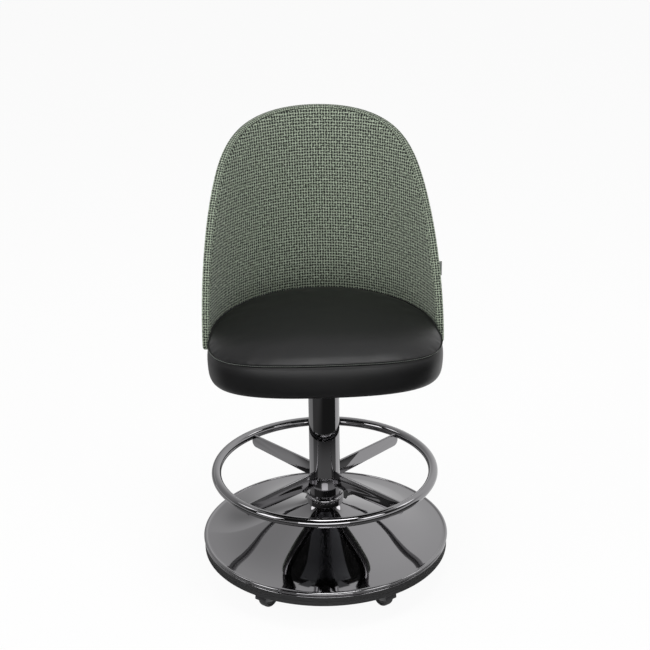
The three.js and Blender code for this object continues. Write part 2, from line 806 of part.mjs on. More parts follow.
const bracketBoltReach = bracketBack(bracketBottom) + bracketLeg - bracketBoltInset;
const bracketBoltPlaces = [-1, 1].map((side) => [
  side * (bracketFoot.x + bracketBoltReach * Math.cos(bracketAngle)),
  bracketFoot.y + bracketBoltReach * Math.sin(bracketAngle),
]);
const pockets = [-1, 1].map((side) => placeBracket(bracketBody(pocketGap), side));
const backShell = backLayer(() => shellFront, () => coverDepth + fitGap);
const backPad = cutBy(backLayer(padFace, () => padBack), ...pockets);
addPiece(seat, 'back_outer_cover', backLayer(() => coverDepth, () => 0), greenWeave());
addPiece(seat, 'back_shell', backShell, plywood());
addPiece(seat, 'back_pad', backPad, greenWeave());
addPiece(seat, 'back_edge_strip', cutBy(edgeStrip(), ...pockets), greenWeave());
addPiece(seat, 'back_bracket_left', backBracket(-1), zincSteel());
addPiece(seat, 'back_bracket_right', backBracket(1), zincSteel());

// Backrest: the small loop of tape in the outer seam of the right edge, left plain
const labelLift = 144;
const labelHeight = backBottom + labelLift;
const labelInset = 36;
const labelRound = wingReach - labelInset;
const labelTall = 30;
const labelReach = 9;
const labelThickness = 1.6;
const labelCorner = 1.5;

function sideLabel() {
  const [low, high] = [labelHeight - labelTall / 2, labelHeight + labelTall / 2];
  const outline = new THREE.Shape();
  outline.moveTo(0, low);
  outline.lineTo(labelReach - labelCorner, low);
  outline.quadraticCurveTo(labelReach, low, labelReach, low + labelCorner);
  outline.lineTo(labelReach, high - labelCorner);
  outline.quadraticCurveTo(labelReach, high, labelReach - labelCorner, high);
  outline.lineTo(0, high);
  const root = backPoint(labelRound, labelHeight, -fitGap);
  const way = backPlan.getTangentAt(Math.min(labelRound / backPlanLength, 1));
  const tape = sideSlab(outline, labelThickness, hexSides / 2);
  return tape.rotateZ(Math.atan2(way.x, -way.y)).translate(root.x, root.y, 0);
}

addPiece(seat, 'side_label', sideLabel(), greyTape());

// Seat: the outline of the cushion in plan. Its front and sides are drawn, and its rear follows
// the padded face of the backrest. The front corners are round below and squarer at the seam.
const seatSide = -95;
const seatFrontHandle = 140;
const seatSideHandle = 85;
const seamFrontHandle = 205;
const seamSideHandle = 128;
const widestLift = 48;
const seatWidest = seatUnderside + widestLift;
const seatCentre = -20;
const cushionGap = 1.2;
const rearInset = 21;
const rearReach = wingReach - rearInset;
const frontSteps = 8;
const rearSteps = 10;

function cushionOutline(squareness) {
  const frontHandle = THREE.MathUtils.lerp(seatFrontHandle, seamFrontHandle, squareness);
  const sideHandle = THREE.MathUtils.lerp(seatSideHandle, seamSideHandle, squareness);
  const front = new THREE.CubicBezierCurve(
    new THREE.Vector2(0, -seatFront),
    new THREE.Vector2(frontHandle, -seatFront),
    new THREE.Vector2(seatHalfWidth, seatSide - sideHandle),
    new THREE.Vector2(seatHalfWidth, seatSide),
  );
  const ahead = Array.from({ length: frontSteps + 1 }, (_, step) => front.getPoint(step / frontSteps));
  const behind = Array.from({ length: rearSteps + 1 }, (_, step) => {
    const share = 1 - step / rearSteps;
    return backPoint(share * rearReach, seatWidest, padFace(share, seatWidest) + cushionGap);
  });
  const right = [...ahead, ...behind].map((point) => [point.x, point.y]);
  const left = right.slice(1, -1).map(([x, y]) => [-x, y]).reverse();
  return [...right, ...left];
}

// The outline drawn in towards its centre, by a share and then by a length.
function drawnIn(share, shrink, squareness = 0) {
  return cushionOutline(squareness).map(([x, y]) => {
    const rest = share - shrink / Math.hypot(x, y - seatCentre);
    return [x * rest, seatCentre + (y - seatCentre) * rest];
  });
}

// Seat: the swivel plate, the board and the dust cover in the recess under the cushion
const dustThickness = 1.6;
const boardThickness = 15;
const recessShare = 0.8;
const boardGap = 0.6;
const plateHalf = 92;
const plateCorner = 14;
const seatBoltPlace = 74;
const seatBolt = { headRadius: 7.5, headHeight: 5.3, shankRadius: 4, shankLength: 17 };
const boardBottom = seatUnderside + dustThickness + fitGap;
const boardTop = boardBottom + boardThickness;
const seatBoltPlaces = around(4, seatBoltPlace * Math.SQRT2, Math.PI / 4);

function roundedSquare(half, corner) {
  const square = new THREE.Shape();
  const inner = half - corner;
  square.absarc(inner, inner, corner, 0, quarterTurn, false);
  square.absarc(-inner, inner, corner, quarterTurn, Math.PI, false);
  square.absarc(-inner, -inner, corner, Math.PI, Math.PI + quarterTurn, false);
  square.absarc(inner, -inner, corner, -quarterTurn, 0, false);
  return square;
}

function drilledForSeat(body, bottom, top) {
  const wide = drilled(body, seatBoltPlaces, seatBolt.shankRadius + boltHoleGap, bottom - cutOverrun, top + cutOverrun);
  const narrow = bracketBolt.shankRadius + boltHoleGap;
  return drilled(wide, bracketBoltPlaces, narrow, bottom - cutOverrun, top + cutOverrun);
}

function seatSheet(bottom, top) {
  const points = drawnIn(recessShare, boardGap).map(([x, y]) => new THREE.Vector2(x, y));
  return drilledForSeat(slab(new THREE.Shape(points), bottom, top), bottom, top);
}

const swivelPlateShape = roundedSquare(plateHalf, plateCorner);
const swivelPlateBlank = slab(swivelPlateShape, swivelPlateBottom, swivelPlateTop, hexSides / 2);
addPiece(seat, 'swivel_plate', drilledForSeat(swivelPlateBlank, swivelPlateBottom, swivelPlateTop), bareSteel());
addPiece(seat, 'dust_cover', seatSheet(seatUnderside, seatUnderside + dustThickness), dustCloth());
addPiece(seat, 'seat_board', seatSheet(boardBottom, boardTop), plywood());
seatBoltPlaces.forEach(([x, y], index) => {
  const piece = addPiece(seat, `seat_bolt_${index + 1}`, bolt(seatBolt), zincSteel());
  piece.position.set(x, y, swivelPlateBottom - fitGap);
  piece.rotation.x = Math.PI;
});
bracketBoltPlaces.forEach(([x, y], index) => {
  const side = ['left', 'right'][index];
  const piece = addPiece(seat, `bracket_bolt_${side}`, bolt(bracketBolt), zincSteel());
  piece.position.set(x, y, bracketBottom - fitGap);
  piece.rotation.x = Math.PI;
});

// Seat: the cushion. Its band is drawn in below and pinched at the seam, and its top is crowned.
const bandHeight = 73;
const crownHeight = 35;
const bandUnder = 16;
const bandHeightShares = [0, 0.05, 0.2, 0.42, 0.68, 0.88, 1];
const bandDrawnShares = [1, 0.5, 0.16, 0.03, 0, 0.1, 0.3];
const crownHeightShares = [0.1, 0.32, 0.54, 0.73, 0.88, 0.97];
const crownSizeShares = [0.983, 0.95, 0.885, 0.77, 0.58, 0.3];
const bandSquareness = [0, 0.05, 0.25, 0.55, 0.85, 0.97, 1];
const crownSquareness = [1, 0.95, 0.85, 0.6, 0.3, 0];

function seatCushion() {
  const ring = (share, shrink, height, squareness = 0) => {
    return drawnIn(share, shrink, squareness).map(([x, y]) => new THREE.Vector3(x, y, height));
  };
  const band = bandHeightShares.map((share, step) => {
    return ring(1, bandUnder * bandDrawnShares[step], seatUnderside + share * bandHeight, bandSquareness[step]);
  });
  const crown = crownHeightShares.map((share, step) => {
    const height = seatUnderside + bandHeight + share * crownHeight;
    return ring(crownSizeShares[step], 0, height, crownSquareness[step]);
  });
  const recess = [ring(recessShare, 0, boardTop + fitGap), ring(recessShare, 0, seatUnderside)];
  return skin([...recess, ...band, ...crown], false);
}

addPiece(seat, 'seat_cushion', seatCushion(), leatherette());

export default stool;
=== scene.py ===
"""A gaming stool: a padded swivel seat with a wrap-around back, on a polished column with a foot
ring and a weighted round base that rolls on five casters.

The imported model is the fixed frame. This file dresses it: it spins the polished metal, sews the
cushion and the back, builds the casters, and gives every part of the frame its own finish."""

import json
import math

import bpy
import numpy as np
from mathutils import Matrix, Vector
from mathutils.kdtree import KDTree


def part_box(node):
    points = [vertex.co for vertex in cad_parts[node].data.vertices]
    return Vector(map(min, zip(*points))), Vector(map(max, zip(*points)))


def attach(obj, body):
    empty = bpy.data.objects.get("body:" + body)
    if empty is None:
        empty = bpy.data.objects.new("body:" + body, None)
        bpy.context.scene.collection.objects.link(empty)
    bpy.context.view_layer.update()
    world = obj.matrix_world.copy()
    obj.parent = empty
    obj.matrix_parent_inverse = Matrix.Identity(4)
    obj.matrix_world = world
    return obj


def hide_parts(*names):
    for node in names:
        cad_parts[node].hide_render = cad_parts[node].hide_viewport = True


bl_info = {
    "name": "Gaming Stool",
    "version": (1, 0, 0),
    "blender": (4, 5, 0),
    "location": "3D View > Sidebar > Stool",
    "description": "A swivelling stool with a wrap-around back on a weighted base with casters",
    "category": "Mesh",
}

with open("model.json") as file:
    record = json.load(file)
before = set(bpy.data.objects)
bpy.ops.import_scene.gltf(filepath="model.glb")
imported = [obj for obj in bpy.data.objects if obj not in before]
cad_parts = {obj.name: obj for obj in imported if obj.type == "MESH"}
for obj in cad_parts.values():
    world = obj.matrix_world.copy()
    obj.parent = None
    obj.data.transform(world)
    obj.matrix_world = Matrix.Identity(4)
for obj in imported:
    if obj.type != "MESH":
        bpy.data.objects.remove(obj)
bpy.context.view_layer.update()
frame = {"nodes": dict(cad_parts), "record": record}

MM = 0.001
FULL_TURN = 2 * math.pi
QUARTER = math.pi / 2

# The base stands turned a little under the seat
BASE_TURN = math.radians(-3)
SEAT_UNDERSIDE = 492 * MM
SEAT_CENTRE = -20 * MM


# Colours and nodes

def linear(code):
    """A hex sRGB colour as linear red, green, blue and alpha."""
    parts = [int(code[place:place + 2], 16) / 255 for place in (1, 3, 5)]
    parts = [c / 12.92 if c <= 0.04045 else ((c + 0.055) / 1.055) ** 2.4 for c in parts]
    return (*parts, 1.0)


def shaded(colour, share):
    """A colour made darker or lighter by a share."""
    return (*(min(1.0, share * c) for c in colour[:3]), 1.0)


def add_node(tree, kind, inputs=None, **settings):
    """Adds a node with its settings. An input is a value, a socket, or a node, which stands for
    the first of its outputs that is in use."""
    node = tree.nodes.new("ShaderNode" + kind)
    for name, value in settings.items():
        setattr(node, name, value)
    for name, value in (inputs or {}).items():
        if isinstance(value, bpy.types.Node):
            value = next(output for output in value.outputs if output.enabled)
        if isinstance(value, bpy.types.NodeSocket):
            tree.links.new(value, node.inputs[name])
        else:
            node.inputs[name].default_value = value
    return node


def ramp(value, start, end, low=0.0, high=1.0):
    """The inputs of a ramp: low where a value is at its start, high where it is at its end."""
    return {"Value": value, "From Min": start, "From Max": end, "To Min": low, "To Max": high}


# A ramp that starts and ends gently
EASED = {"interpolation_type": "SMOOTHSTEP"}


class StoolSizes(bpy.types.PropertyGroup):
    """Sizes of the pieces that are modelled here."""

    rim_radius: bpy.props.FloatProperty(
        name="Rim radius", description="Outer radius of the rolled rim of the base cover",
        default=260 * MM, unit="LENGTH", subtype="DISTANCE")
    column_radius: bpy.props.FloatProperty(
        name="Column radius", description="Outer radius of the column tube",
        default=32 * MM, unit="LENGTH", subtype="DISTANCE")
    ring_radius: bpy.props.FloatProperty(
        name="Foot ring radius", description="Radius of the middle line of the foot ring",
        default=228 * MM, unit="LENGTH", subtype="DISTANCE")
    ring_tube: bpy.props.FloatProperty(
        name="Foot ring tube", description="Radius of the tube that the foot ring is bent from",
        default=10 * MM, unit="LENGTH", subtype="DISTANCE")
    ring_height: bpy.props.FloatProperty(
        name="Foot ring height", description="Height of the middle of the foot ring",
        default=231 * MM, unit="LENGTH", subtype="DISTANCE")
    wheel_radius: bpy.props.FloatProperty(
        name="Wheel radius", description="Radius of a caster wheel over its tyre",
        default=25 * MM, unit="LENGTH", subtype="DISTANCE")
    seam_depth: bpy.props.FloatProperty(
        name="Seam depth", description="How deep the seam pulls the cushion in",
        default=1.6 * MM, unit="LENGTH", subtype="DISTANCE")
    spin_steps: bpy.props.IntProperty(
        name="Spin steps", description="Steps round the polished metal",
        default=192, min=24)


class StoolColours(bpy.types.PropertyGroup):
    """Colours of the finishes."""

    nickel: bpy.props.FloatVectorProperty(
        name="Black nickel", description="Polished black nickel, seen straight on",
        default=linear("#8c8b8d"), size=4, min=0, max=1, subtype="COLOR")
    leatherette: bpy.props.FloatVectorProperty(
        name="Leatherette", description="Black upholstery of the seat",
        default=linear("#121213"), size=4, min=0, max=1, subtype="COLOR")
    yarn_light: bpy.props.FloatVectorProperty(
        name="Light yarn", description="Raised yarns of the woven back",
        default=linear("#a9b5a1"), size=4, min=0, max=1, subtype="COLOR")
    # Painted shade: the near-black of the weave's gaps and of its yarns' sides
    yarn_gap_shade: bpy.props.FloatVectorProperty(
        name="Dark yarn", description="Gaps between the yarns of the woven back",
        default=linear("#0b0f0c"), size=4, min=0, max=1, subtype="COLOR")
    floor: bpy.props.FloatVectorProperty(
        name="Floor", description="Studio floor",
        default=linear("#fafafa"), size=4, min=0, max=1, subtype="COLOR")


# Materials

def new_material(name):
    """An empty material and its tree."""
    material = bpy.data.materials.new(name)
    material.use_nodes = True
    material.node_tree.nodes.clear()
    return material, material.node_tree


def black_nickel():
    # Black nickel plate on polished steel: a dark mirror. Barely any blur, with faint polishing
    # marks that show only where a highlight crosses them.
    material, tree = new_material("polished_black_nickel")
    place = add_node(tree, "TexCoord").outputs["Object"]
    smudge = add_node(tree, "TexNoise", {"Vector": place, "Scale": 1 / (60 * MM), "Detail": 2.0})
    marks = add_node(tree, "TexNoise", {"Vector": place, "Scale": 1 / (1.5 * MM), "Detail": 4.0})
    blur = add_node(tree, "MapRange", ramp(smudge, 0, 1, 0.03, 0.06))
    bump = add_node(tree, "Bump", {"Strength": 0.02, "Distance": 0.01 * MM, "Height": marks})
    metal = add_node(tree, "BsdfPrincipled", {
        "Base Color": bpy.context.scene.stool_colours.nickel, "Metallic": 1.0,
        "Roughness": blur, "Normal": bump})
    add_node(tree, "OutputMaterial", {"Surface": metal})
    return material


def leatherette():
    # Black coated fabric, embossed with a fine leather grain: a soft sheen, never a mirror.
    material, tree = new_material("embossed_leatherette")
    black = bpy.context.scene.stool_colours.leatherette
    place = add_node(tree, "TexCoord").outputs["Object"]
    grain = add_node(tree, "TexVoronoi", {
        "Vector": place, "Scale": 1 / (1.4 * MM), "Smoothness": 0.6}, feature="SMOOTH_F1")
    worn = add_node(tree, "TexNoise", {"Vector": place, "Scale": 1 / (45 * MM), "Detail": 3.0})
    colour = add_node(tree, "Mix", {
        "Factor": worn, 6: shaded(black, 0.85), 7: black}, data_type="RGBA")
    blur = add_node(tree, "MapRange", ramp(worn, 0, 1, 0.36, 0.46))
    bump = add_node(tree, "Bump", {"Strength": 0.35, "Distance": 0.12 * MM, "Height": grain})
    cover = add_node(tree, "BsdfPrincipled", {
        "Base Color": colour, "Roughness": blur, "IOR": 1.5, "Specular IOR Level": 0.35,
        "Normal": bump})
    add_node(tree, "OutputMaterial", {"Surface": cover})
    return material


def green_weave():
    # Upholstery fabric in a loose plain weave of thick, mixed green-grey yarns: light crossings
    # about 6 mm apart, with a dark gap between every four of them. The dark is painted shade,
    # taken from the yarns' height, on their sides and in the gaps. It follows the cloth's own
    # coordinates, in metres.
    material, tree = new_material("basket_weave_fabric")
    colours = bpy.context.scene.stool_colours
    flat = add_node(tree, "UVMap", uv_map="weave")
    # No yarn lies quite straight
    bend = add_node(tree, "TexNoise", {"Vector": flat, "Scale": 1 / (9 * MM), "Detail": 2.0})
    bend = add_node(tree, "VectorMath", {
        0: bend.outputs["Color"], 1: (0.5, 0.5, 0.5)}, operation="SUBTRACT")
    bend = add_node(tree, "VectorMath", {0: bend, "Scale": 1.6 * MM}, operation="SCALE")
    cells = add_node(tree, "VectorMath", {0: flat, 1: bend}, operation="ADD")
    cells = add_node(tree, "VectorMath", {
        0: cells, 1: (math.pi / (6.3 * MM), math.pi / (6.0 * MM), 0)}, operation="MULTIPLY")
    ways = add_node(tree, "SeparateXYZ", {"Vector": cells}).outputs
    waves = [add_node(tree, "Math", {0: ways[way]}, operation="SINE") for way in "XY"]
    over = add_node(tree, "Math", {0: waves[0], 1: waves[1]}, operation="MULTIPLY")
    yarns, slubs = [], []
    for wave, lift, thick_places in zip(waves, (0.16, -0.16), ((7, 2.5), (2.5, 7))):
        # A round yarn, higher where it crosses over the other, with thick and thin places
        yarn = add_node(tree, "Math", {0: wave}, operation="ABSOLUTE")
        rise = add_node(tree, "Math", {0: over, 1: lift, 2: 0.84}, operation="MULTIPLY_ADD")
        yarns.append(add_node(tree, "Math", {0: yarn, 1: rise}, operation="MULTIPLY"))
        slub = add_node(tree, "VectorMath", {
            0: flat, 1: (*(1 / (size * MM) for size in thick_places), 1)}, operation="MULTIPLY")
        slubs.append(add_node(tree, "TexNoise", {"Vector": slub, "Scale": 1.0, "Detail": 2.0}))
    height = add_node(tree, "Math", {0: yarns[0], 1: yarns[1], 2: 0.2}, operation="SMOOTH_MAX")
    uneven = add_node(tree, "Math", {0: slubs[0], 1: slubs[1]}, operation="ADD")
    uneven = add_node(tree, "MapRange", ramp(uneven, 0.72, 1.28, -0.2, 0.2))
    tone = add_node(tree, "Math", {0: height, 1: uneven}, operation="ADD")
    # Painted shade: the lower a yarn lies, the darker it is, down to near black in the gaps
    shade = add_node(tree, "MapRange", ramp(tone, 0.52, 1.07), **EASED)
    colour = add_node(tree, "Mix", {
        "Factor": shade, 6: colours.yarn_gap_shade, 7: colours.yarn_light}, data_type="RGBA")
    bump = add_node(tree, "Bump", {"Strength": 0.7, "Distance": 0.8 * MM, "Height": height})
    cloth = add_node(tree, "BsdfPrincipled", {
        "Base Color": colour, "Roughness": 0.92, "Sheen Weight": 0.15, "Sheen Roughness": 0.5,
        "Normal": bump})
    add_node(tree, "OutputMaterial", {"Surface": cloth})
    return material


def plywood():
    # Birch plywood, clear sealed: long pale grain with thin darker lines.
    material, tree = new_material("birch_plywood")
    place = add_node(tree, "TexCoord").outputs["Object"]
    grain = add_node(tree, "Mapping", {"Vector": place, "Scale": (4, 60, 60)})
    lines = add_node(tree, "TexNoise", {
        "Vector": grain, "Scale": 4.0, "Detail": 6.0, "Distortion": 0.6})
    colour = add_node(tree, "Mix", {
        "Factor": lines, 6: linear("#a37a4a"), 7: linear("#d2ae7c")}, data_type="RGBA")
    bump = add_node(tree, "Bump", {"Strength": 0.3, "Distance": 0.1 * MM, "Height": lines})
    wood = add_node(tree, "BsdfPrincipled", {
        "Base Color": colour, "Roughness": 0.6, "Normal": bump})
    add_node(tree, "OutputMaterial", {"Surface": wood})
    return material


def plain_finish(name, code, roughness, lump, bump_height, metallic=0.0, contrast=0.15):
    """A finish of one colour, uneven by a lump size and a bump height in millimetres."""
    material, tree = new_material(name)
    place = add_node(tree, "TexCoord").outputs["Object"]
    lumps = add_node(tree, "TexNoise", {"Vector": place, "Scale": 1 / (lump * MM), "Detail": 4.0})
    colour = add_node(tree, "Mix", {
        "Factor": lumps, 6: shaded(linear(code), 1 - contrast),
        7: shaded(linear(code), 1 + contrast)}, data_type="RGBA")
    blur = add_node(tree, "MapRange", ramp(lumps, 0, 1, roughness - 0.06, roughness + 0.06))
    bump = add_node(tree, "Bump", {
        "Strength": 0.5, "Distance": bump_height * MM, "Height": lumps})
    finish = add_node(tree, "BsdfPrincipled", {
        "Base Color": colour, "Metallic": metallic, "Roughness": blur, "Normal": bump})
    add_node(tree, "OutputMaterial", {"Surface": finish})
    return material


WORKED_FINISHES = {
    "black_nickel": black_nickel,
    "leatherette": leatherette,
    "green_weave": green_weave,
    "plywood": plywood,
}
# What plain_finish makes of each slot: name, colour, roughness, lump, bump, metallic, contrast
PLAIN_FINISHES = {
    # Grey cast iron, painted black over its sand-cast skin: dull and lumpy
    "cast_iron": ("painted_cast_iron", "#2b2b2c", 0.7, 2.5, 0.3, 0.0, 0.25),
    # Extruded rubber, with a little dust in its pores: matt and slightly grey
    "black_rubber": ("matt_rubber", "#232324", 0.75, 1.2, 0.1, 0.0, 0.3),
    # Nylon, moulded in a spark-eroded mould: a fine, even, half-dull skin
    "black_plastic": ("moulded_black_nylon", "#17171a", 0.42, 0.8, 0.05),
    # Zinc-plated steel, passivated: a dull light grey with faint spangle
    "zinc_steel": ("zinc_plated_steel", "#a9abad", 0.38, 5, 0.02, 1.0),
    # Turned steel with a thin film of oil: a grey shine, a little blurred
    "bare_steel": ("turned_steel", "#8f9194", 0.3, 3, 0.02, 1.0),
    # White acetal, machined: waxy and nearly even
    "white_nylon": ("machined_acetal", "#dcdbd4", 0.5, 2, 0.02, 0.0, 0.04),
    # Non-woven dust cloth, pressed from black fibres: no shine at all
    "dust_cloth": ("nonwoven_dust_cloth", "#1b1b1b", 0.95, 0.9, 0.2, 0.0, 0.5),
    # Woven polyester tape and spun polyester thread: soft, with light catching single fibres.
    # On the seam's stitches this grey is a painted highlight along the welt.
    "grey_tape": ("grey_polyester_tape", "#7d827d", 0.9, 1.0, 0.2, 0.0, 0.2),
}
MATERIALS = {}


def material_for(slot):
    """The one material of a slot, made when it is first needed."""
    if slot not in MATERIALS:
        plain = PLAIN_FINISHES.get(slot)
        MATERIALS[slot] = plain_finish(*plain) if plain else WORKED_FINISHES[slot]()
    return MATERIALS[slot]


# Modelling

def metres(corners):
    """Corners given in millimetres, in metres."""
    return [tuple(part * MM for part in corner) for corner in corners]


def arc(middle, radius, start, end, steps):
    """Points of an arc, from one angle to another."""
    angles = [start + (end - start) * step / steps for step in range(steps + 1)]
    return [(middle[0] + radius * math.cos(angle), middle[1] + radius * math.sin(angle))
            for angle in angles]


def rounded(corners, steps=5):
    """An outline with its corners rounded. Each corner is (radius, height, how round it is)."""
    points = []
    for index, (x, y, size) in enumerate(corners):
        here = Vector((x, y))
        if size <= 0:
            points.append((x, y))
            continue
        before = Vector(corners[index - 1][:2])
        after = Vector(corners[(index + 1) % len(corners)][:2])
        start = here + (before - here).normalized() * size
        end = here + (after - here).normalized() * size
        for step in range(steps + 1):
            share = step / steps
            mixed = start.lerp(here, share).lerp(here.lerp(end, share), share)
            points.append((mixed.x, mixed.y))
    return points


def running_length(points):
    """How far along a line each of its points lies."""
    lengths = [0.0]
    for here, there in zip(points, points[1:]):
        lengths.append(lengths[-1] + math.dist(here, there))
    return lengths


def ridge(distance, middle, width):
    """1 at the middle of a ridge, falling to 0 beside it."""
    return math.exp(-((distance - middle) / width) ** 2)


def new_object(name, data):
    """An object in the scene."""
    piece = bpy.data.objects.new(name, data)
    bpy.context.scene.collection.objects.link(piece)
    return piece


def select_only(piece):
    bpy.ops.object.select_all(action="DESELECT")
    piece.select_set(True)
    bpy.context.view_layer.objects.active = piece


def tidy(piece):
    """Merges doubled points and turns every face outwards."""
    select_only(piece)
    bpy.ops.object.mode_set(mode="EDIT")
    bpy.ops.mesh.select_all(action="SELECT")
    bpy.ops.mesh.remove_doubles(threshold=0.001 * MM)
    bpy.ops.mesh.normals_make_consistent(inside=False)
    bpy.ops.object.mode_set(mode="OBJECT")
    return piece


def apply_modifier(piece, kind, **settings):
    """Adds a modifier with its settings and applies it."""
    modifier = piece.modifiers.new(kind.lower(), kind)
    for name, value in settings.items():
        setattr(modifier, name, value)
    select_only(piece)
    bpy.ops.object.modifier_apply(modifier=modifier.name)


def spun(name, outline, steps):
    """A closed outline of (radius, height), spun round the upright axis."""
    bpy.ops.object.select_all(action="DESELECT")
    bpy.ops.mesh.primitive_circle_add(vertices=len(outline), radius=10 * MM, fill_type="NOTHING")
    piece = bpy.context.object
    piece.name = piece.data.name = name
    for vertex, (radius, height) in zip(piece.data.vertices, outline):
        vertex.co = (radius, 0, height)
    bpy.ops.object.mode_set(mode="EDIT")
    bpy.ops.mesh.select_all(action="SELECT")
    bpy.ops.mesh.spin(steps=steps, angle=FULL_TURN, center=(0, 0, 0), axis=(0, 0, 1))
    bpy.ops.object.mode_set(mode="OBJECT")
    return tidy(piece)


def wrapped(name, columns, rows, place, flat=None):
    """A grid of columns and rows, each point put in its place, closed where points meet.

    flat(column, row) gives the cloth's own coordinates of a point, in metres."""
    bpy.ops.object.select_all(action="DESELECT")
    bpy.ops.mesh.primitive_grid_add(
        x_subdivisions=columns, y_subdivisions=rows, size=1, calc_uvs=True)
    piece = bpy.context.object
    piece.name = piece.data.name = name
    mesh = piece.data
    spots = [(index % (columns + 1), index // (columns + 1)) for index in range(len(mesh.vertices))]
    for vertex, spot in zip(mesh.vertices, spots):
        vertex.co = place(*spot)
    if flat:
        layer = mesh.uv_layers.active
        layer.name = "weave"
        flats = [flat(*spot) for spot in spots]
        for loop in mesh.loops:
            layer.data[loop.index].uv = flats[loop.vertex_index]
    return tidy(piece)


def closed_line(name, points, dimensions):
    """A closed curve through points."""
    curve = bpy.data.curves.new(name, "CURVE")
    curve.dimensions = dimensions
    line = curve.splines.new("POLY")
    line.points.add(len(points) - 1)
    for point, spot in zip(line.points, points):
        point.co = (*spot, 1)
    line.use_cyclic_u = True
    return new_object(name, curve)


def plate_from(name, outline, thickness, edge):
    """A flat plate lying in the XY plane, its middle at height 0, with rounded edges."""
    piece = closed_line(name, [(x, y, 0) for x, y in outline], "2D")
    piece.data.fill_mode = "BOTH"
    piece.data.extrude = thickness / 2 - edge
    piece.data.bevel_depth = edge
    piece.data.bevel_resolution = 2
    piece.data.offset = -edge
    select_only(piece)
    bpy.ops.object.convert(target="MESH")
    piece = bpy.context.object
    piece.name = piece.data.name = name
    return tidy(piece)


def numbered(piece, number, move):
    """Moves a piece by a matrix. Number 1 is the piece itself, and so the last to be moved, and
    each other number is a copy with its own mesh."""
    if number > 1:
        mesh = piece.data.copy()
        piece = new_object(f"{piece.name.removesuffix('_1')}_{number}", mesh)
        mesh.name = piece.name
    piece.data.transform(move)
    return piece


def swollen(piece, cell, held):
    """Blows a padded piece up as cloth, on a copy with cells of one size. Each point then moves as
    the cloth about it did, at most as far as the reach. held(point) is 1 where a board or a seam
    holds the cloth, and 0 where it is free."""
    last_frame = 20
    reach = 4 * MM
    neighbours, nearness = 48, 8 * MM
    select_only(piece)
    bpy.ops.object.duplicate()
    cloth = bpy.context.object
    apply_modifier(cloth, "REMESH", mode="VOXEL", voxel_size=cell)
    pins = cloth.vertex_groups.new(name="held")
    for vertex in cloth.data.vertices:
        pins.add([vertex.index], held(vertex.co), "REPLACE")
    fabric = cloth.modifiers.new("fabric", "CLOTH")
    settings = fabric.settings
    settings.quality = 6
    settings.mass = 0.35
    settings.tension_stiffness = settings.compression_stiffness = 30
    settings.shear_stiffness = 6
    settings.bending_stiffness = 5
    settings.use_pressure = True
    settings.uniform_pressure_force = 4
    settings.vertex_group_mass = pins.name
    settings.effector_weights.gravity = 0
    fabric.point_cache.frame_start, fabric.point_cache.frame_end = 1, last_frame
    before = np.array([vertex.co for vertex in cloth.data.vertices])
    for frame_number in range(1, last_frame + 1):
        bpy.context.scene.frame_set(frame_number)
    blown = cloth.evaluated_get(bpy.context.evaluated_depsgraph_get())
    moves = np.array([vertex.co for vertex in blown.data.vertices]) - before
    bpy.context.scene.frame_set(1)
    tree = KDTree(len(before))
    for index, point in enumerate(before):
        tree.insert(point, index)
    tree.balance()
    for vertex in piece.data.vertices:
        near = tree.find_n(vertex.co, neighbours)
        shares = np.array([1 / (distance + nearness) for _, _, distance in near])
        move = (moves[[index for _, index, _ in near]] * shares[:, None]).sum(0) / shares.sum()
        length = float(np.linalg.norm(move))
        if length > 0:
            vertex.co += Vector(move * (reach * math.tanh(length / reach) / length))
    bpy.data.objects.remove(cloth)


def dress(piece, slot, body, node=None, angle=35):
    """Smooths a piece, gives it its finish, hangs it on what it rides on, and hides the frame's
    part that it stands for.
    """
    select_only(piece)
    bpy.ops.object.shade_smooth_by_angle(angle=math.radians(angle))
    piece.data.materials.clear()
    piece.data.materials.append(material_for(slot))
    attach(piece, body)
    if node:
        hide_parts(node)
    piece.select_set(False)


# The base cover's shape

COVER_RIM = 252 * MM
COVER_RIM_HEIGHT = 85.5 * MM
NECK_RADIUS = 36 * MM
NECK_HEIGHT = 158 * MM
# How steeply the top face falls, as a tangent, at radii in millimetres from the neck to the rim:
# a steep neck, then nearly a cone, then a shallow dish out to the rim
COVER_SLOPES = ((36, 1.0), (48, 0.58), (60, 0.42), (80, 0.38), (135, 0.38), (165, 0.36),
                (185, 0.31), (205, 0.24), (225, 0.15), (239, 0.10), (252, 0.085))


def cover_profile():
    """Radii and heights of the cover's top face, from the slopes with their corners eased."""
    radii = np.linspace(COVER_SLOPES[0][0], COVER_SLOPES[-1][0], 433)
    slopes = np.interp(radii, *np.array(COVER_SLOPES).T)
    ease = 12
    window = 2 * ease + 1
    slopes = np.convolve(np.pad(slopes, ease, mode="edge"), np.ones(window) / window, "valid")
    fall = np.concatenate([[0], np.cumsum((slopes[1:] + slopes[:-1]) / 2)])
    return radii * MM, NECK_HEIGHT - (NECK_HEIGHT - COVER_RIM_HEIGHT) * fall / fall[-1]


PROFILE = cover_profile()


def cover_height(radius):
    """The height of the cover's top face."""
    return float(np.interp(radius, *PROFILE))


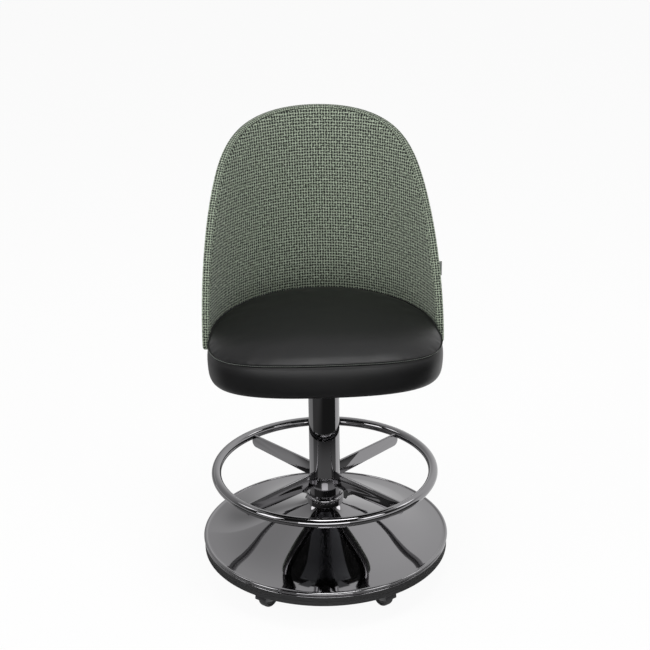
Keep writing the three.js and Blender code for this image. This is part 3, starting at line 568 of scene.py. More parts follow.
class STOOL_OT_spun_metal(bpy.types.Operator):
    """Spins the base cover, the collar and the column tube"""

    bl_idname = "stool.spun_metal"
    bl_label = "Spun metal"
    bl_options = {"REGISTER", "UNDO"}

    def execute(self, context):
        sizes = context.scene.stool_sizes
        steps = sizes.spin_steps
        wall = 2.2 * MM
        bead = 4 * MM
        bead_middle = (sizes.rim_radius - bead, 83.5 * MM)
        count = 72
        radii = [NECK_RADIUS + (COVER_RIM - NECK_RADIUS) * (step / count) ** 1.15
                 for step in range(count + 1)]
        top = [(radius, cover_height(radius)) for radius in radii]
        rise = [(COVER_RIM + x, COVER_RIM_HEIGHT + y) for x, y in metres([(0.9, 0.15), (1.9, 0.9)])]
        roll = arc(bead_middle, bead, math.radians(115), math.radians(-100), steps=16)
        # The sheet's edge, turned in under the bead: how far inside the rim, and how high
        hem = [(sizes.rim_radius - x, y) for x, y in metres([
            (2.7, 78.6), (1.6, 77.9), (1.2, 77.2), (1.3, 76.5), (1.8, 76.3), (3.2, 76.3),
            (5.8, 79.5)])]
        under = [(radius, cover_height(radius) - wall) for radius in reversed(radii[::4])]
        cover = spun("cover_trumpet", top + rise + roll + hem + under, steps)
        dress(cover, "black_nickel", "base", "base_cover", angle=40)

        inner = sizes.column_radius + 0.3 * MM
        outer = 39 * MM
        low, high = 158.3 * MM, 175.3 * MM
        collar = spun("collar_bell", rounded([
            (inner, low, 0), (outer - 2.7 * MM, low, 0), (outer, low - 1.6 * MM, 0.5 * MM),
            (outer, high, 4.5 * MM), (inner, high, 0.6 * MM)], steps=8), steps)
        dress(collar, "black_nickel", "base", "collar_ring", angle=40)

        outer = sizes.column_radius
        inner = outer - 3 * MM
        low, high = 84.6 * MM, 452 * MM
        column = spun("column_skin", rounded([
            (inner, low, 0.4 * MM), (outer, low, 0.4 * MM), (outer, high, 0.8 * MM),
            (inner, high, 0.4 * MM)], steps=3), steps)
        dress(column, "black_nickel", "base", "column_tube", angle=40)
        return {"FINISHED"}


class STOOL_OT_foot_ring(bpy.types.Operator):
    """Bends the foot ring from round tube and cuts its four spokes from flat bar"""

    bl_idname = "stool.foot_ring"
    bl_label = "Foot ring"
    bl_options = {"REGISTER", "UNDO"}

    def execute(self, context):
        sizes = context.scene.stool_sizes
        tube_middle = (sizes.ring_radius, sizes.ring_height)
        section = arc(tube_middle, sizes.ring_tube, 0, FULL_TURN, steps=32)[:-1]
        ring = spun("ring_tube", section, sizes.spin_steps)
        dress(ring, "black_nickel", "base", "foot_ring", angle=60)

        # A spoke: down the column, round its lower corner and up to the hollow that takes the tube
        above, short = 3.5 * MM, 4 * MM
        depth, depth_at_column = 28 * MM, 34 * MM
        corner = 12 * MM
        hollow = sizes.ring_tube + 0.3 * MM
        top = sizes.ring_height + above
        inner = sizes.column_radius + 0.3 * MM
        corner_middle = (sizes.ring_radius - short - corner, top - depth + corner)
        outline = [(inner, top), (inner, top - depth_at_column)]
        outline += arc(corner_middle, corner, -QUARTER, 0, steps=8)
        outline += arc(tube_middle, hollow, math.pi + math.acos(short / hollow),
                       math.pi - math.asin(above / hollow), steps=8)
        bar = plate_from("spoke_1", outline, thickness=5 * MM, edge=0.7 * MM)
        for number in (2, 3, 4, 1):
            turn = Matrix.Rotation(BASE_TURN + math.radians(90 * number - 45), 4, "Z")
            spoke = numbered(bar, number, turn @ Matrix.Rotation(QUARTER, 4, "X"))
            dress(spoke, "black_nickel", "base", f"foot_spoke_{number}", angle=30)
        return {"FINISHED"}


class STOOL_OT_base_trim(bpy.types.Operator):
    """Extrudes the bumper ring that hangs under the rolled rim"""

    bl_idname = "stool.base_trim"
    bl_label = "Bumper ring"
    bl_options = {"REGISTER", "UNDO"}

    def execute(self, context):
        sizes = context.scene.stool_sizes
        low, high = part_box("bumper_ring")
        face = sizes.rim_radius - 1.7 * MM
        # How far inside the face, share of the height, how round: a groove runs round the middle
        band = spun("bumper_band", rounded([
            (face - inside * MM, low.z + share * (high.z - low.z), size * MM)
            for inside, share, size in (
                (7.7, 0, 0.8), (0, 0, 2.2), (0, 0.42, 0), (0.6, 0.46, 0),
                (0.6, 0.54, 0), (0, 0.58, 0), (0, 1, 0.8), (7.7, 1, 0.4))], steps=4),
            sizes.spin_steps)
        dress(band, "black_rubber", "base", "bumper_ring", angle=50)
        return {"FINISHED"}


# Casters

PIVOT_RADIUS = 180 * MM
TRAIL = 20 * MM
CASTERS = 5


class STOOL_OT_casters(bpy.types.Operator):
    """Builds a caster wheel and its hood, and sets five of them round the base"""

    bl_idname = "stool.casters"
    bl_label = "Casters"
    bl_options = {"REGISTER", "UNDO"}

    def execute(self, context):
        radius = context.scene.stool_sizes.wheel_radius
        on_axle = (Matrix.Translation((PIVOT_RADIUS + TRAIL, 0, radius))
                   @ Matrix.Rotation(QUARTER, 4, "X"))
        on_pivot = Matrix.Translation((PIVOT_RADIUS, 0, 0))

        half = 9.5 * MM
        dish = half - 2.5 * MM
        hub = radius - 6.5 * MM
        side = [(3.5 * MM, half, 0.3 * MM), (7 * MM, half, 0.4 * MM), (8.5 * MM, dish, 0.6 * MM),
                (hub, dish, 0.5 * MM), (hub + 2.2 * MM, half, 0.8 * MM),
                (radius - 1.4 * MM, half - 0.4 * MM, 1.6 * MM), (radius, half - 4 * MM, 2 * MM)]
        other = [(x, -y, size) for x, y, size in reversed(side)]
        wheel = spun("wheel", rounded(side + other, steps=4), steps=64)
        wheel.data.transform(on_axle)

        # The hood: an arch over the wheel with its kingpin's boss, hollowed where the wheel runs
        outer = radius + 4 * MM
        clear = radius + 1.6 * MM
        below = -40 * MM
        arch = arc((0, 0), outer, 0, math.pi, steps=32) + metres([(-8, -8), (8, -8)])
        hood = plate_from("hood_shell", arch, thickness=27.6 * MM, edge=1.2 * MM)
        hood.data.transform(on_axle)
        space = arc((0, 0), clear, 0, math.pi, steps=32) + [(-clear, below), (clear, below)]
        hollow = plate_from("hood_space", space, thickness=20.8 * MM, edge=0.3 * MM)
        hollow.data.transform(on_axle)
        boss = spun("hood_boss", rounded(metres([
            (0, 30, 0), (9, 30, 0), (9, 54.2, 0.8), (5, 54.2, 0), (5, 61.4, 0.4),
            (0, 61.4, 0)]), steps=3), steps=48)
        boss.data.transform(on_pivot)
        for tool, operation in ((boss, "UNION"), (hollow, "DIFFERENCE")):
            apply_modifier(hood, "BOOLEAN", operation=operation, solver="EXACT", object=tool)
        for tool in (boss, hollow):
            bpy.data.objects.remove(tool)

        pin = spun("axle_pin", rounded(metres([
            (0, -15.7, 0), (3.2, -15.7, 0.8), (5, -15.2, 0.6), (5, -14.1, 0), (3, -14.1, 0),
            (3, 14.1, 0), (5, 14.1, 0), (5, 15.2, 0.6), (3.2, 15.7, 0.8),
            (0, 15.7, 0)]), steps=3), steps=32)
        pin.data.transform(on_axle)
        cup = spun("caster_cup", rounded(metres([
            (5.5, 54.5, 0), (16, 54.5, 1.6), (16, 58.7, 0.4), (25, 58.7, 0.4), (25, 61.7, 0.4),
            (5.5, 61.7, 0)]), steps=3), steps=64)
        cup.data.transform(on_pivot)

        for number in range(CASTERS, 0, -1):
            angle = BASE_TURN - QUARTER + math.pi / CASTERS + FULL_TURN * (number - 1) / CASTERS
            turn = Matrix.Rotation(angle, 4, "Z")
            for piece, slot, body, node in (
                    (wheel, "black_rubber", f"wheel_{number}", "caster_wheel"),
                    (hood, "black_plastic", f"caster_{number}", "caster_hood"),
                    (pin, "zinc_steel", f"caster_{number}", "caster_axle"),
                    (cup, "zinc_steel", "base", "caster_plate")):
                dress(numbered(piece, number, turn), slot, body, f"{node}_{number}")
        return {"FINISHED"}


# The back's surface, as the frame has it: drawn from above, from the middle of the rear round to
# the side, leaning back as it rises

BACK_PLAN = [(0, 0.212), (0.140, 0.212), (0.247, 0.085), (0.247, -0.060)]
LEAN_HEIGHT = 575 * MM
LEAN = math.tan(math.radians(7))
BACK_BOTTOM = 523 * MM
BACK_TOP = 952 * MM


def bezier(handles, share):
    """A point of a curve and the way that the curve goes there."""
    points = [Vector(handle) for handle in handles]
    while len(points) > 2:
        points = [a.lerp(b, share) for a, b in zip(points, points[1:])]
    return points[0].lerp(points[1], share), (points[1] - points[0]).normalized()


PLAN_SHARES = [step / 400 for step in range(401)]
PLAN_LENGTHS = running_length([bezier(BACK_PLAN, share)[0] for share in PLAN_SHARES])


def back_point(around, height, depth):
    """A point of the back: how far round from the middle, how high, how deep under the outside."""
    share = float(np.interp(min(abs(around), PLAN_LENGTHS[-1]), PLAN_LENGTHS, PLAN_SHARES))
    spot, way = bezier(BACK_PLAN, share)
    side = 1 if around > 0 else -1 if around < 0 else 0
    lean = LEAN * (height - LEAN_HEIGHT)
    return Vector((side * (spot.x + depth * way.y), spot.y - depth * way.x + lean, height))


WING_REACH = 373 * MM
WING_CORNER = 16 * MM
SHOULDER = Vector((0.265, 0.838))
SHOULDER_SLOPE = Vector((0.042, -0.068))
# Half of the back's outline laid flat, in curves by their handles: the wing's lower corner, the
# wing's end and the top. With each go its count of points and the power that spaces them out.
BACK_CURVES = (
    ([(WING_REACH - WING_CORNER, BACK_BOTTOM), (WING_REACH, BACK_BOTTOM),
      (WING_REACH, BACK_BOTTOM + WING_CORNER)], 6, 1),
    ([(WING_REACH, BACK_BOTTOM + 22 * MM), (WING_REACH, BACK_BOTTOM + 107 * MM),
      SHOULDER + SHOULDER_SLOPE, SHOULDER], 26, 1),
    ([SHOULDER, SHOULDER - SHOULDER_SLOPE, (170 * MM, BACK_TOP), (0, BACK_TOP)], 40, 0.8),
)


def back_outline(inset):
    """The back's outline drawn in by an inset: (reach, height) from the bottom up to the top."""
    spots = [bezier(handles, (step / count) ** power)
             for handles, count, power in BACK_CURVES for step in range(count)]
    # The last point stops just short of the middle
    spots.append(bezier(BACK_CURVES[-1][0], 0.995))
    return [(spot.x - inset * way.y, spot.y + inset * way.x) for spot, way in spots]


EDGE_DEPTH = 17 * MM
PAD_CROWN = 9 * MM
EDGE_BAND = 5 * MM
PAD_REAR = 13.1 * MM
OUTER_COVER = 3.5 * MM
# How much closer the yarns lie where the cloth is pulled round the edge
TAUT = 1.2


def pad_face(share, height):
    """How deep the padded face lies."""
    rise = (height - (BACK_TOP + BACK_BOTTOM) / 2) / ((BACK_TOP - BACK_BOTTOM) / 2)
    return EDGE_DEPTH + PAD_CROWN * (1 - share ** 4) * (1 - rise ** 4)


def back_panel(name, front, rear, rolls):
    """One closed panel of the back, between a front and a rear depth. Along its border each of the
    two rolls into the seam by a depth, over a width."""
    edge = back_outline(EDGE_BAND + 0.3 * MM)
    border = np.array([(0, edge[0][1]), *edge, (0, edge[-1][1])])
    half = 44
    shares = []
    for step in range(-half, half + 1):
        near = abs(step) / half
        shares.append(math.copysign(1 - (1 - near) ** 1.25, step) if step else 0.0)
    shares += shares[::-1]
    rows = [edge[0]] + edge + [edge[-1]]

    def near_edge(around, height):
        """How far a point of the panel is from its border."""
        spot = np.array([abs(around), height])
        starts, ends = border[:-1], border[1:]
        along = ends - starts
        length = np.maximum((along ** 2).sum(1), 1e-12)
        share = np.clip(((spot - starts) * along).sum(1) / length, 0, 1)
        return float(np.sqrt((((starts + along * share[:, None]) - spot) ** 2).sum(1)).min())

    def spot(column, row):
        """How far round, how high and how deep a point of the grid lies."""
        reach, height = rows[row]
        column %= len(shares)
        share = shares[column]
        depths = front(share, height), rear(share, height)
        if row in (0, len(rows) - 1):
            return share * reach, height, sum(depths) / 2
        face = 2 * column // len(shares)
        roll, width = rolls[face]
        dip = roll * ridge(near_edge(share * reach, height), 0, width)
        return share * reach, height, depths[face] - dip

    return wrapped(name, len(shares), len(rows) - 1,
                   lambda column, row: back_point(*spot(column, row)),
                   lambda column, row: spot(column, row)[:2])


def held_back(point):
    """The pad is held behind the cushion and along its border, and is free above and between."""
    from_sitter = math.hypot(point.x, 0.6 * (point.y + 60 * MM))
    side = float(np.interp(from_sitter, [120 * MM, 235 * MM], [0, 1]))
    low = float(np.interp(point.z, [606 * MM, 640 * MM], [1, 0]))
    high = float(np.interp(point.z, [880 * MM, 930 * MM], [0, 1]))
    return max(low, high, side ** 2)


class STOOL_OT_back(bpy.types.Operator):
    """Sews the backrest: the padded inner panel, the outer panel and the strip between them"""

    bl_idname = "stool.back"
    bl_label = "Backrest"
    bl_options = {"REGISTER", "UNDO"}

    def execute(self, context):
        inner = back_panel("back_inner_panel", pad_face, lambda share, height: PAD_REAR,
                           ((2.2 * MM, 3.2 * MM), (0, 1 * MM)))
        swollen(inner, 6 * MM, held_back)
        dress(inner, "green_weave", "seat", "back_pad", angle=60)
        outer = back_panel("back_outer_panel", lambda share, height: OUTER_COVER,
                           lambda share, height: 0, ((0, 1 * MM), (-1.2 * MM, 2.5 * MM)))
        dress(outer, "green_weave", "seat", "back_outer_cover", angle=60)

        # The strip's section, as (how far in from the outline, how deep, how round)
        fold, hem, turned_in = 4.4 * MM, 1 * MM, 0.6 * MM
        section = rounded([(0, 0, fold), (0, EDGE_DEPTH, fold),
                           (EDGE_BAND, EDGE_DEPTH - turned_in, hem), (EDGE_BAND, turned_in, hem)])
        lines = []
        for inset, depth in section:
            side = back_outline(inset)
            bottom = [(side[0][0] * step / 40, side[0][1]) for step in range(40)]
            right = bottom + side + [(0, side[-1][1])]
            lines.append(right + [(-around, height) for around, height in reversed(right[1:-1])])
        count = len(lines[0])
        lengths = running_length(lines[0] + lines[0][:1])

        def place(column, row):
            row %= len(lines)
            return back_point(*lines[row][column % count], section[row][1])

        def flat(column, row):
            inset, depth = section[row % len(lines)]
            return TAUT * (depth + inset), TAUT * lengths[column]

        strip = wrapped("back_edge_band", count, len(lines), place, flat)
        dress(strip, "green_weave", "seat", "back_edge_strip", angle=60)
        return {"FINISHED"}


# The cushion's shape, as the frame has it

SEAT_HALF = 233 * MM
SEAT_FRONT = 218 * MM
SEAT_SIDE = -95 * MM
SEAT_BACK_REACH = 352 * MM
BAND_HEIGHT = 73 * MM
CROWN_HEIGHT = 32 * MM
BAND_UNDER = 16 * MM
WIDEST = SEAT_UNDERSIDE + 48 * MM
SEAM_HEIGHT = SEAT_UNDERSIDE + BAND_HEIGHT


def cushion_outline(front_handle, side_handle):
    """The cushion in plan, from the middle of the front round the right and back to the left."""
    front_steps, rear_steps = 64, 76
    handles = [(0, -SEAT_FRONT), (front_handle, -SEAT_FRONT),
               (SEAT_HALF, SEAT_SIDE - side_handle), (SEAT_HALF, SEAT_SIDE)]
    right = [bezier(handles, step / front_steps)[0].to_tuple() for step in range(front_steps + 1)]
    for step in range(rear_steps + 1):
        share = 1 - step / rear_steps
        spot = back_point(share * SEAT_BACK_REACH, WIDEST, pad_face(share, WIDEST) + 1.2 * MM)
        right.append((spot.x, spot.y))
    return right + [(-x, y) for x, y in reversed(right[1:-1])]


def through(knots):
    """A smooth line through knots, and the distance of each of its points along it."""
    steps = 24
    knots = np.array(knots, float)
    padded = np.vstack([2 * knots[0] - knots[1], knots, 2 * knots[-1] - knots[-2]])
    line = []
    for index in range(1, len(padded) - 2):
        a, b, c, d = padded[index - 1:index + 3]
        for step in range(steps):
            t = step / steps
            line.append(0.5 * (2 * b + (c - a) * t + (2 * a - 5 * b + 4 * c - d) * t * t
                               + (3 * b - a - 3 * c + d) * t ** 3))
    line = np.array(line + [knots[-1]])
    reach = line[:, 0] * 225 * MM - line[:, 1]
    return line, np.concatenate([[0], np.cumsum(np.hypot(np.diff(reach), np.diff(line[:, 2])))])


def graded(length, coarse):
    """Distances from a seam: close together beside it, wider apart away from it."""
    spots, step = [0.0], 0.6 * MM
    while spots[-1] < length:
        spots.append(spots[-1] + step)
        if spots[-1] > 9 * MM:
            step = min(coarse, step * 1.18)
    return [spot * length / spots[-1] for spot in spots]


def sampled(line, lengths, distances):
    """The points of a line at distances along it."""
    return [tuple(float(np.interp(distance, lengths, part)) for part in line.T)
            for distance in distances]


class STOOL_OT_cushion(bpy.types.Operator):
    """Sews the seat cushion: its band, its crowned top, the seam between them and its stitches"""

    bl_idname = "stool.cushion"
    bl_label = "Seat cushion"
    bl_options = {"REGISTER", "UNDO"}

    def execute(self, context):
        seam_depth = context.scene.stool_sizes.seam_depth
        # Its front corners are round below and squarer at the seam
        round_outline = cushion_outline(150 * MM, 92 * MM)
        square_outline = cushion_outline(176 * MM, 106 * MM)
        count = len(round_outline)
        # Each ring round the cushion is the share of its plan, how far it is drawn in, its height
        # and how square it is: under it, up its side and over its top
        recess = [(share, drawn * MM, SEAT_UNDERSIDE + up * MM, 0) for share, drawn, up in (
            (0, 0, 17.2), (0.4, 0, 17.2), (0.8, 0, 17.2), (0.8, 0, 8), (0.8, 0, 0), (0.9, 8, 0))]
        band = [(1, BAND_UNDER * drawn, SEAT_UNDERSIDE + up * BAND_HEIGHT, square)
                for up, drawn, square in (
                    (0, 1, 0), (0.05, 0.5, 0.05), (0.2, 0.16, 0.25), (0.42, 0.03, 0.55),
                    (0.68, 0, 0.85), (0.88, 0.1, 0.97), (1, 0.3, 1))]
        crown = [band[-1]] + [
            (share, 0, SEAM_HEIGHT + up * CROWN_HEIGHT, square) for share, up, square in (
                (0.985, 0.07, 1), (0.952, 0.25, 0.95), (0.885, 0.48, 0.85), (0.77, 0.7, 0.6),
                (0.58, 0.87, 0.3), (0.3, 0.97, 0), (0.0, 1.0, 0))]
        lower, lower_lengths = through(band)
        upper, upper_lengths = through(crown)
        under = graded(lower_lengths[-1], 4 * MM)[::-1]
        over = graded(upper_lengths[-1], 4.5 * MM)[1:]
        rings = recess + sampled(
            lower, lower_lengths, [lower_lengths[-1] - distance for distance in under])
        rings += sampled(upper, upper_lengths, over)
        # How far each ring is above the seam, or below it, where the number is below 0
        distances = [-1.0] * len(recess) + [-distance for distance in under] + over
        around = running_length(square_outline + square_outline[:1])

        def pucker(where):
            """The seam pulls the cover in unevenly: a few waves of unlike length."""
            angle = FULL_TURN * where / around[-1]
            return (0.5 * math.sin(61 * angle) + 0.3 * math.sin(97 * angle + 1.7)
                    + 0.35 * math.sin(23 * angle + 0.6))

        def place(column, row):
            column %= count
            share, shrink, height, square = rings[row]
            x, y = Vector(round_outline[column]).lerp(Vector(square_outline[column]), square)
            distance = distances[row]
            welt = 2.4 * MM * ridge(distance, 2.6 * MM, 1.3 * MM)
            groove = seam_depth * ridge(distance, 0, 0.9 * MM)
            roll = 0.6 * MM * ridge(distance, -2.6 * MM, 1.3 * MM)
            waves = 0.3 * MM * pucker(around[column]) * ridge(distance, 7 * MM, 8 * MM)
            out = welt - groove + roll + waves
            # The welt leans up and outwards
            up = 1.3 * out if distance > 0 and share > 0.9 else 0
            reach = math.hypot(x, y - SEAT_CENTRE)
            rest = share - (shrink - out) / reach if share > 0 else 0
            return x * rest, SEAT_CENTRE + (y - SEAT_CENTRE) * rest, height + up

        def held(point):
            """The band and the seam are held, and the top is free."""
            return float(np.interp(point.z, [SEAM_HEIGHT + 2 * MM, SEAM_HEIGHT + 8 * MM], [1, 0]))

        cushion = wrapped("seat_pad", count, len(rings) - 1, place)
        swollen(cushion, 5 * MM, held)
        dress(cushion, "leatherette", "seat", "seat_cushion", angle=60)
        # The stitches bridge the groove, from the welt to the roll
        welt, roll = (min(range(len(rings)), key=lambda row: abs(distances[row] - spot))
                      for spot in (2.2 * MM, -2 * MM))
        self.stitch([(Vector(place(column, welt)) + Vector(place(column, roll))) / 2
                     for column in range(count)], around[-1])
        return {"FINISHED"}

    def stitch(self, line, length):
        """A row of short polyester stitches over the seam, half as coarse again as real thread so
        that they show."""
        pitch = 4.4 * MM
        stitches = spun("seam_stitches", metres([
            (0, -1.6), (0.56, -1.3), (0.8, -0.5), (0.8, 0.5), (0.56, 1.3), (0, 1.6)]), steps=6)
        stitches.data.transform(Matrix.Rotation(QUARTER, 4, "Y"))
        seam = closed_line("seam_line", line, "3D")
        apply_modifier(stitches, "ARRAY", count=int(length / pitch) - 2,
                       use_relative_offset=False, use_constant_offset=True,
                       constant_offset_displace=(pitch, 0, 0))
        apply_modifier(stitches, "CURVE", object=seam)
        bpy.data.objects.remove(seam)
        # Painted highlight: the stitches take the tape's grey, lighter than black thread, as a
        # highlight along the welt
        dress(stitches, "grey_tape", "seat", angle=60)


class STOOL_OT_label(bpy.types.Operator):
    """Folds the small bare loop of tape in the edge seam"""

    bl_idname = "stool.label"
    bl_label = "Side label"
    bl_options = {"REGISTER", "UNDO"}

    def execute(self, context):
        low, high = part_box("side_label")
        middle = (low + high) / 2
        # The tape stands out less than its solid, and its fold is round
        outer = high.x - 4 * MM
        fold = 1.3 * MM
        halfway = low.x + 0.4 * (outer - low.x)
        path = ([(low.x, -0.5 * MM), (halfway, -1.0 * MM)]
                + arc((outer - fold, 0), fold, -QUARTER, QUARTER, steps=24)
                + [(halfway, 1.0 * MM), (low.x, 0.5 * MM)])
        rows = 12

        def place(column, row):
            x, y = path[column]
            share = row / rows
            wave = 0.85 + 0.15 * math.sin(3 * share)
            return x, middle.y + y * wave, low.z + (high.z - low.z) * share

        tape = wrapped("label_loop", len(path) - 1, rows, place)
        apply_modifier(tape, "SOLIDIFY", thickness=0.45 * MM, offset=-1)
        dress(tape, "grey_tape", "seat", "side_label", angle=40)
        return {"FINISHED"}


class STOOL_OT_fittings(bpy.types.Operator):
    """Gives the frame's own fittings their finishes"""

    bl_idname = "stool.fittings"
    bl_label = "Fittings"
    bl_options = {"REGISTER", "UNDO"}

    def execute(self, context):
        slots = {part["node"]: part["material_slot"] for part in frame["record"]["subparts"]}
        for name, node in frame["nodes"].items():
            if name not in slots:
                raise RuntimeError(f"no finish is named for {name}")
            for place in node.material_slots:
                place.material = material_for(slots[name])
        return {"FINISHED"}


# Stage

LENS = 88.68
CAMERA_TURN = math.radians(2.5)
CAMERA_PITCH = 0.3992
CAMERA_ROLL = math.radians(0.8)
CAMERA_DISTANCE = 2.9945
CAMERA_HEIGHT = 1.823
CAMERA_SHIFT = (0.0035, 0.0001)
WHITE = (1, 1, 1, 1)
# The floor is flat round the stool and rises gently towards its edge
FLOOR_RADIUS = 9
FLOOR_FLAT = 6
# The card is a part of a ring, from behind on the left round the front to the right
CARD_START, CARD_SWEEP = math.radians(-200), math.radians(288)
CARD_INNER, CARD_WIDTH = 0.28, 2.37
# The flag stands behind on the left, its right edge in the middle
FLAG_WIDTH, FLAG_TALL = 1.3, 0.6
FLAG_BEHIND, FLAG_FOOT = 0.95, 0.02
# Soft lamps: name, place, the spot that it points at, width, height and watts
LAMPS = (
    ("key_right", (2.2, -2.0, 2.6), (0, 0, 0.5), 1.3, 1.3, 19),
    ("fill_left", (-2.6, -1.4, 2.2), (0, 0, 0.5), 1.2, 1.6, 23),
    ("top", (0.2, -0.4, 3.0), (0, 0.1, 0.6), 1.2, 0.8, 25),
    ("front_fill", (-0.2, -3.0, 0.55), (0, 0, 0.5), 2.6, 1.0, 26),
    ("neck_left", (-1.8, 0.3, 2.0), (0, 0, 0.15), 0.6, 0.6, 3),
    ("neck_right", (1.8, 0.3, 2.0), (0, 0, 0.15), 0.6, 0.6, 3),
)


class STOOL_OT_stage(bpy.types.Operator):
    """Sets the pale floor, the studio light and the camera"""

    bl_idname = "stool.stage"
    bl_label = "Stage"
    bl_options = {"REGISTER", "UNDO"}

    def execute(self, context):
        scene = context.scene
        self.lay_floor()
        self.light_world(scene)
        for name, place, aim, width, height, watts in LAMPS:
            lamp = bpy.data.lights.new(name, "AREA")
            lamp.shape = "RECTANGLE"
            lamp.size, lamp.size_y = width, height
            lamp.energy = watts
            piece = new_object(name, lamp)
            piece.location = place
            way = Vector(aim) - Vector(place)
            piece.rotation_euler = way.to_track_quat("-Z", "Y").to_euler()
        self.set_cards()

        camera = new_object("camera", bpy.data.cameras.new("camera"))
        camera.location = (-CAMERA_DISTANCE * math.sin(CAMERA_TURN),
                           -CAMERA_DISTANCE * math.cos(CAMERA_TURN), CAMERA_HEIGHT)
        turn = (Matrix.Rotation(-CAMERA_TURN, 4, "Z")
                @ Matrix.Rotation(QUARTER - CAMERA_PITCH, 4, "X")
                @ Matrix.Rotation(-CAMERA_ROLL, 4, "Z"))
        camera.rotation_euler = turn.to_euler()
        camera.data.lens = LENS
        camera.data.sensor_width = 36
        camera.data.shift_x, camera.data.shift_y = CAMERA_SHIFT
        camera.data.clip_end = 60
        scene.camera = camera
        scene.view_settings.view_transform = "Standard"
        return {"FINISHED"}

    def lay_floor(self):
        """A round white floor, ringed so that it can rise towards its edge."""
        bpy.ops.mesh.primitive_circle_add(vertices=96, radius=FLOOR_RADIUS, fill_type="NGON")
        floor = bpy.context.object
        floor.name = floor.data.name = "studio_floor"
        bpy.ops.object.mode_set(mode="EDIT")
        bpy.ops.mesh.select_all(action="SELECT")
        for _ in range(6):
            bpy.ops.mesh.inset(thickness=0.6)
        bpy.ops.mesh.select_all(action="SELECT")
        bpy.ops.mesh.normals_make_consistent(inside=False)
        bpy.ops.object.mode_set(mode="OBJECT")
        for vertex in floor.data.vertices:
            beyond = max(0.0, math.hypot(vertex.co.x, vertex.co.y) - FLOOR_FLAT)
            vertex.co.z = 0.05 * beyond ** 2
        floor.data.materials.append(self.floor_material())
        floor.select_set(False)

    def set_cards(self):
        """A dark card laid on the floor round the stool, but for its right rear, and a grey flag
        that stands behind on the left. Both glow though they are no lamps, and only polished metal
        shows them: painted reflections, as the dark in the column, the foot ring and the spokes."""
        columns, rows = 64, 8

        def lying(column, row):
            angle = CARD_START + CARD_SWEEP * column / columns
            reach = CARD_INNER + CARD_WIDTH * (row / rows) ** 1.5
            return reach * math.sin(angle), -reach * math.cos(angle), 2 * MM

        def standing(column, row):
            return (FLAG_WIDTH * (column / columns - 1), FLAG_BEHIND,
                    FLAG_FOOT + FLAG_TALL * row / rows)

        for name, place, finish in (("dark_reflection_card", lying, self.card_material),
                                    ("grey_flag", standing, self.flag_material)):
            card = wrapped(name, columns, rows, place)
            card.data.materials.append(finish())
            card.visible_camera = card.visible_diffuse = card.visible_shadow = False
            card.select_set(False)

    def card_material(self):
        # A dark card that glows though it is no lamp: painted light, greyer near the stool and on
        # the left, and most of all behind on the left, where more light would fall on it.
        material, tree = new_material("glowing_reflection_card")
        place = add_node(tree, "TexCoord").outputs["Object"]
        away = add_node(tree, "VectorMath", {0: place}, operation="LENGTH")
        along = add_node(tree, "SeparateXYZ", {"Vector": place}).outputs
        near = add_node(tree, "MapRange", ramp(away, 0.45, 0.8, 0.2, 0.03), **EASED)
        left = add_node(tree, "MapRange", ramp(along["X"], -0.9, -0.1, 0.08, 0.0), **EASED)
        lit = add_node(tree, "MapRange", ramp(along["X"], -0.3, -0.08, 0.36, 0.04), **EASED)
        rear = add_node(tree, "MapRange", ramp(along["Y"], -0.05, 0.08, 0.0, lit), **EASED)
        # Painted light: the glow that stands for the light falling on the card
        grey = add_node(tree, "Math", {0: near, 1: left}, operation="ADD")
        grey = add_node(tree, "Math", {0: grey, 1: rear}, operation="ADD")
        card_glow = add_node(tree, "Emission", {"Color": WHITE, "Strength": grey})
        add_node(tree, "OutputMaterial", {"Surface": card_glow})
        return material

    def flag_material(self):
        # A grey flag that glows though it is no lamp: painted light, lighter towards its free
        # edges, as if the white behind shone through.
        material, tree = new_material("grey_flag_cloth")
        place = add_node(tree, "TexCoord").outputs["Object"]
        along = add_node(tree, "SeparateXYZ", {"Vector": place}).outputs
        across = add_node(tree, "MapRange", ramp(along["X"], -0.45, -0.02, 0.36, 0.9), **EASED)
        up = add_node(tree, "MapRange", ramp(along["Z"], 0.35, 0.62, across, 0.75), **EASED)
        # Painted light: the glow that stands for the light on the flag and through it
        cloth = add_node(tree, "Emission", {"Color": WHITE, "Strength": up})
        add_node(tree, "OutputMaterial", {"Surface": cloth})
        return material

    def floor_material(self):
        # Seamless white paper, lit to white: a mirror and the camera see it as white, and a part
        # of its own matt shading stays, so that it keeps the stool's shadow.
        material, tree = new_material("seamless_paper")
        paper = add_node(tree, "BsdfDiffuse", {
            "Color": bpy.context.scene.stool_colours.floor, "Roughness": 1.0})
        glow = add_node(tree, "Emission", {"Color": WHITE, "Strength": 1.0})
        share = add_node(tree, "Math", {0: self.seen(tree), 1: 0.93}, operation="MULTIPLY")
        both = add_node(tree, "MixShader", {0: share, 1: paper, 2: glow})
        add_node(tree, "OutputMaterial", {"Surface": both})
        return material

    def seen(self, tree):
        """1 for what the camera sees, directly, in a mirror or through glass."""
        ray = add_node(tree, "LightPath").outputs
        seen = add_node(tree, "Math", {
            0: ray["Is Camera Ray"], 1: ray["Is Glossy Ray"]}, operation="MAXIMUM")
        return add_node(tree, "Math", {0: seen, 1: ray["Is Transmission Ray"]}, operation="MAXIMUM")

    def light_world(self, scene):
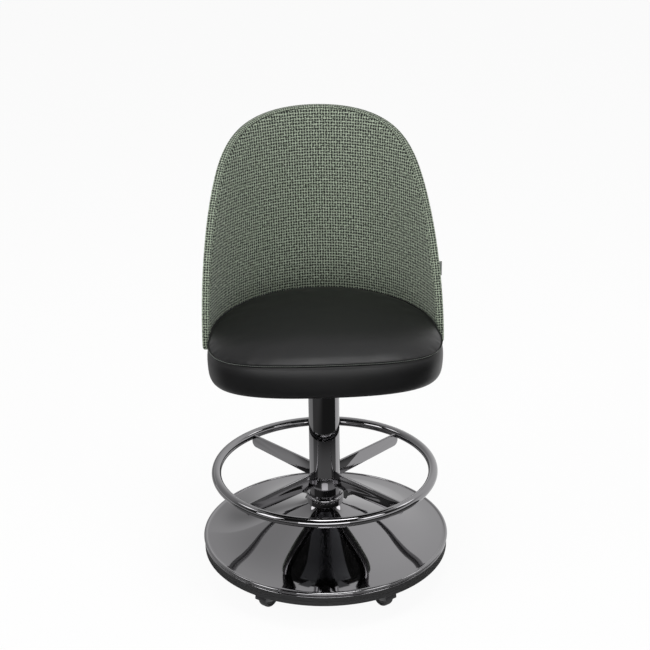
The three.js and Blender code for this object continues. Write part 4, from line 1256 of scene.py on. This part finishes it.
        # A white room, which is what the polished metal shows. Low down it is white all round, but
        # grey on the left. Its ceiling is white over the back and black over the camera, and also
        # greyer on the left. The soft light that it gives is stronger from the left.
        world = bpy.data.worlds.new("studio")
        scene.world = world
        world.use_nodes = True
        tree = world.node_tree
        tree.nodes.clear()
        way = add_node(tree, "SeparateXYZ", {
            "Vector": add_node(tree, "TexCoord").outputs["Generated"]}).outputs
        right = add_node(tree, "MapRange", ramp(way["X"], -0.7, 0.5, 0.45, 1.0), **EASED)
        rear = add_node(tree, "MapRange", ramp(way["Y"], -0.2, 0.45, 0.03, 1.0), **EASED)
        ceiling = add_node(tree, "Math", {0: right, 1: rear}, operation="MULTIPLY")
        side = add_node(tree, "MapRange", ramp(way["X"], -0.75, -0.1, 0.15, 1.0), **EASED)
        low = add_node(tree, "MapRange", ramp(way["Z"], 0.2, 0.45, side, 0.0), **EASED)
        room = add_node(tree, "Math", {0: ceiling, 1: low}, operation="MAXIMUM")
        soft = add_node(tree, "MapRange", ramp(way["X"], -0.8, 0.8, 0.48, 0.12), **EASED)
        bright = add_node(tree, "MapRange", ramp(self.seen(tree), 0, 1, soft, room))
        sky = add_node(tree, "Background", {"Color": WHITE, "Strength": bright})
        add_node(tree, "OutputWorld", {"Surface": sky})


class STOOL_PT_panel(bpy.types.Panel):
    """Lists the stool's pieces and sizes"""

    bl_idname = "STOOL_PT_panel"
    bl_label = "Gaming Stool"
    bl_space_type = "VIEW_3D"
    bl_region_type = "UI"
    bl_category = "Stool"

    def draw(self, context):
        layout = self.layout
        for group in (context.scene.stool_sizes, context.scene.stool_colours):
            column = layout.column()
            for name in group.__annotations__:
                column.prop(group, name)
        for operator in OPERATORS:
            layout.operator(operator.bl_idname)


OPERATORS = (
    STOOL_OT_fittings,
    STOOL_OT_spun_metal,
    STOOL_OT_foot_ring,
    STOOL_OT_base_trim,
    STOOL_OT_casters,
    STOOL_OT_cushion,
    STOOL_OT_back,
    STOOL_OT_label,
    STOOL_OT_stage,
)
CLASSES = (StoolSizes, StoolColours) + OPERATORS + (STOOL_PT_panel,)


def register():
    for item in CLASSES:
        bpy.utils.register_class(item)
    bpy.types.Scene.stool_sizes = bpy.props.PointerProperty(type=StoolSizes)
    bpy.types.Scene.stool_colours = bpy.props.PointerProperty(type=StoolColours)


def unregister():
    del bpy.types.Scene.stool_colours
    del bpy.types.Scene.stool_sizes
    for item in reversed(CLASSES):
        bpy.utils.unregister_class(item)


def main():
    register()
    bpy.ops.object.select_all(action="DESELECT")
    bpy.ops.stool.fittings()
    bpy.ops.stool.spun_metal()
    bpy.ops.stool.foot_ring()
    bpy.ops.stool.base_trim()
    bpy.ops.stool.casters()
    bpy.ops.stool.cushion()
    bpy.ops.stool.back()
    bpy.ops.stool.label()
    bpy.ops.stool.stage()


if __name__ == "__main__":
    main()
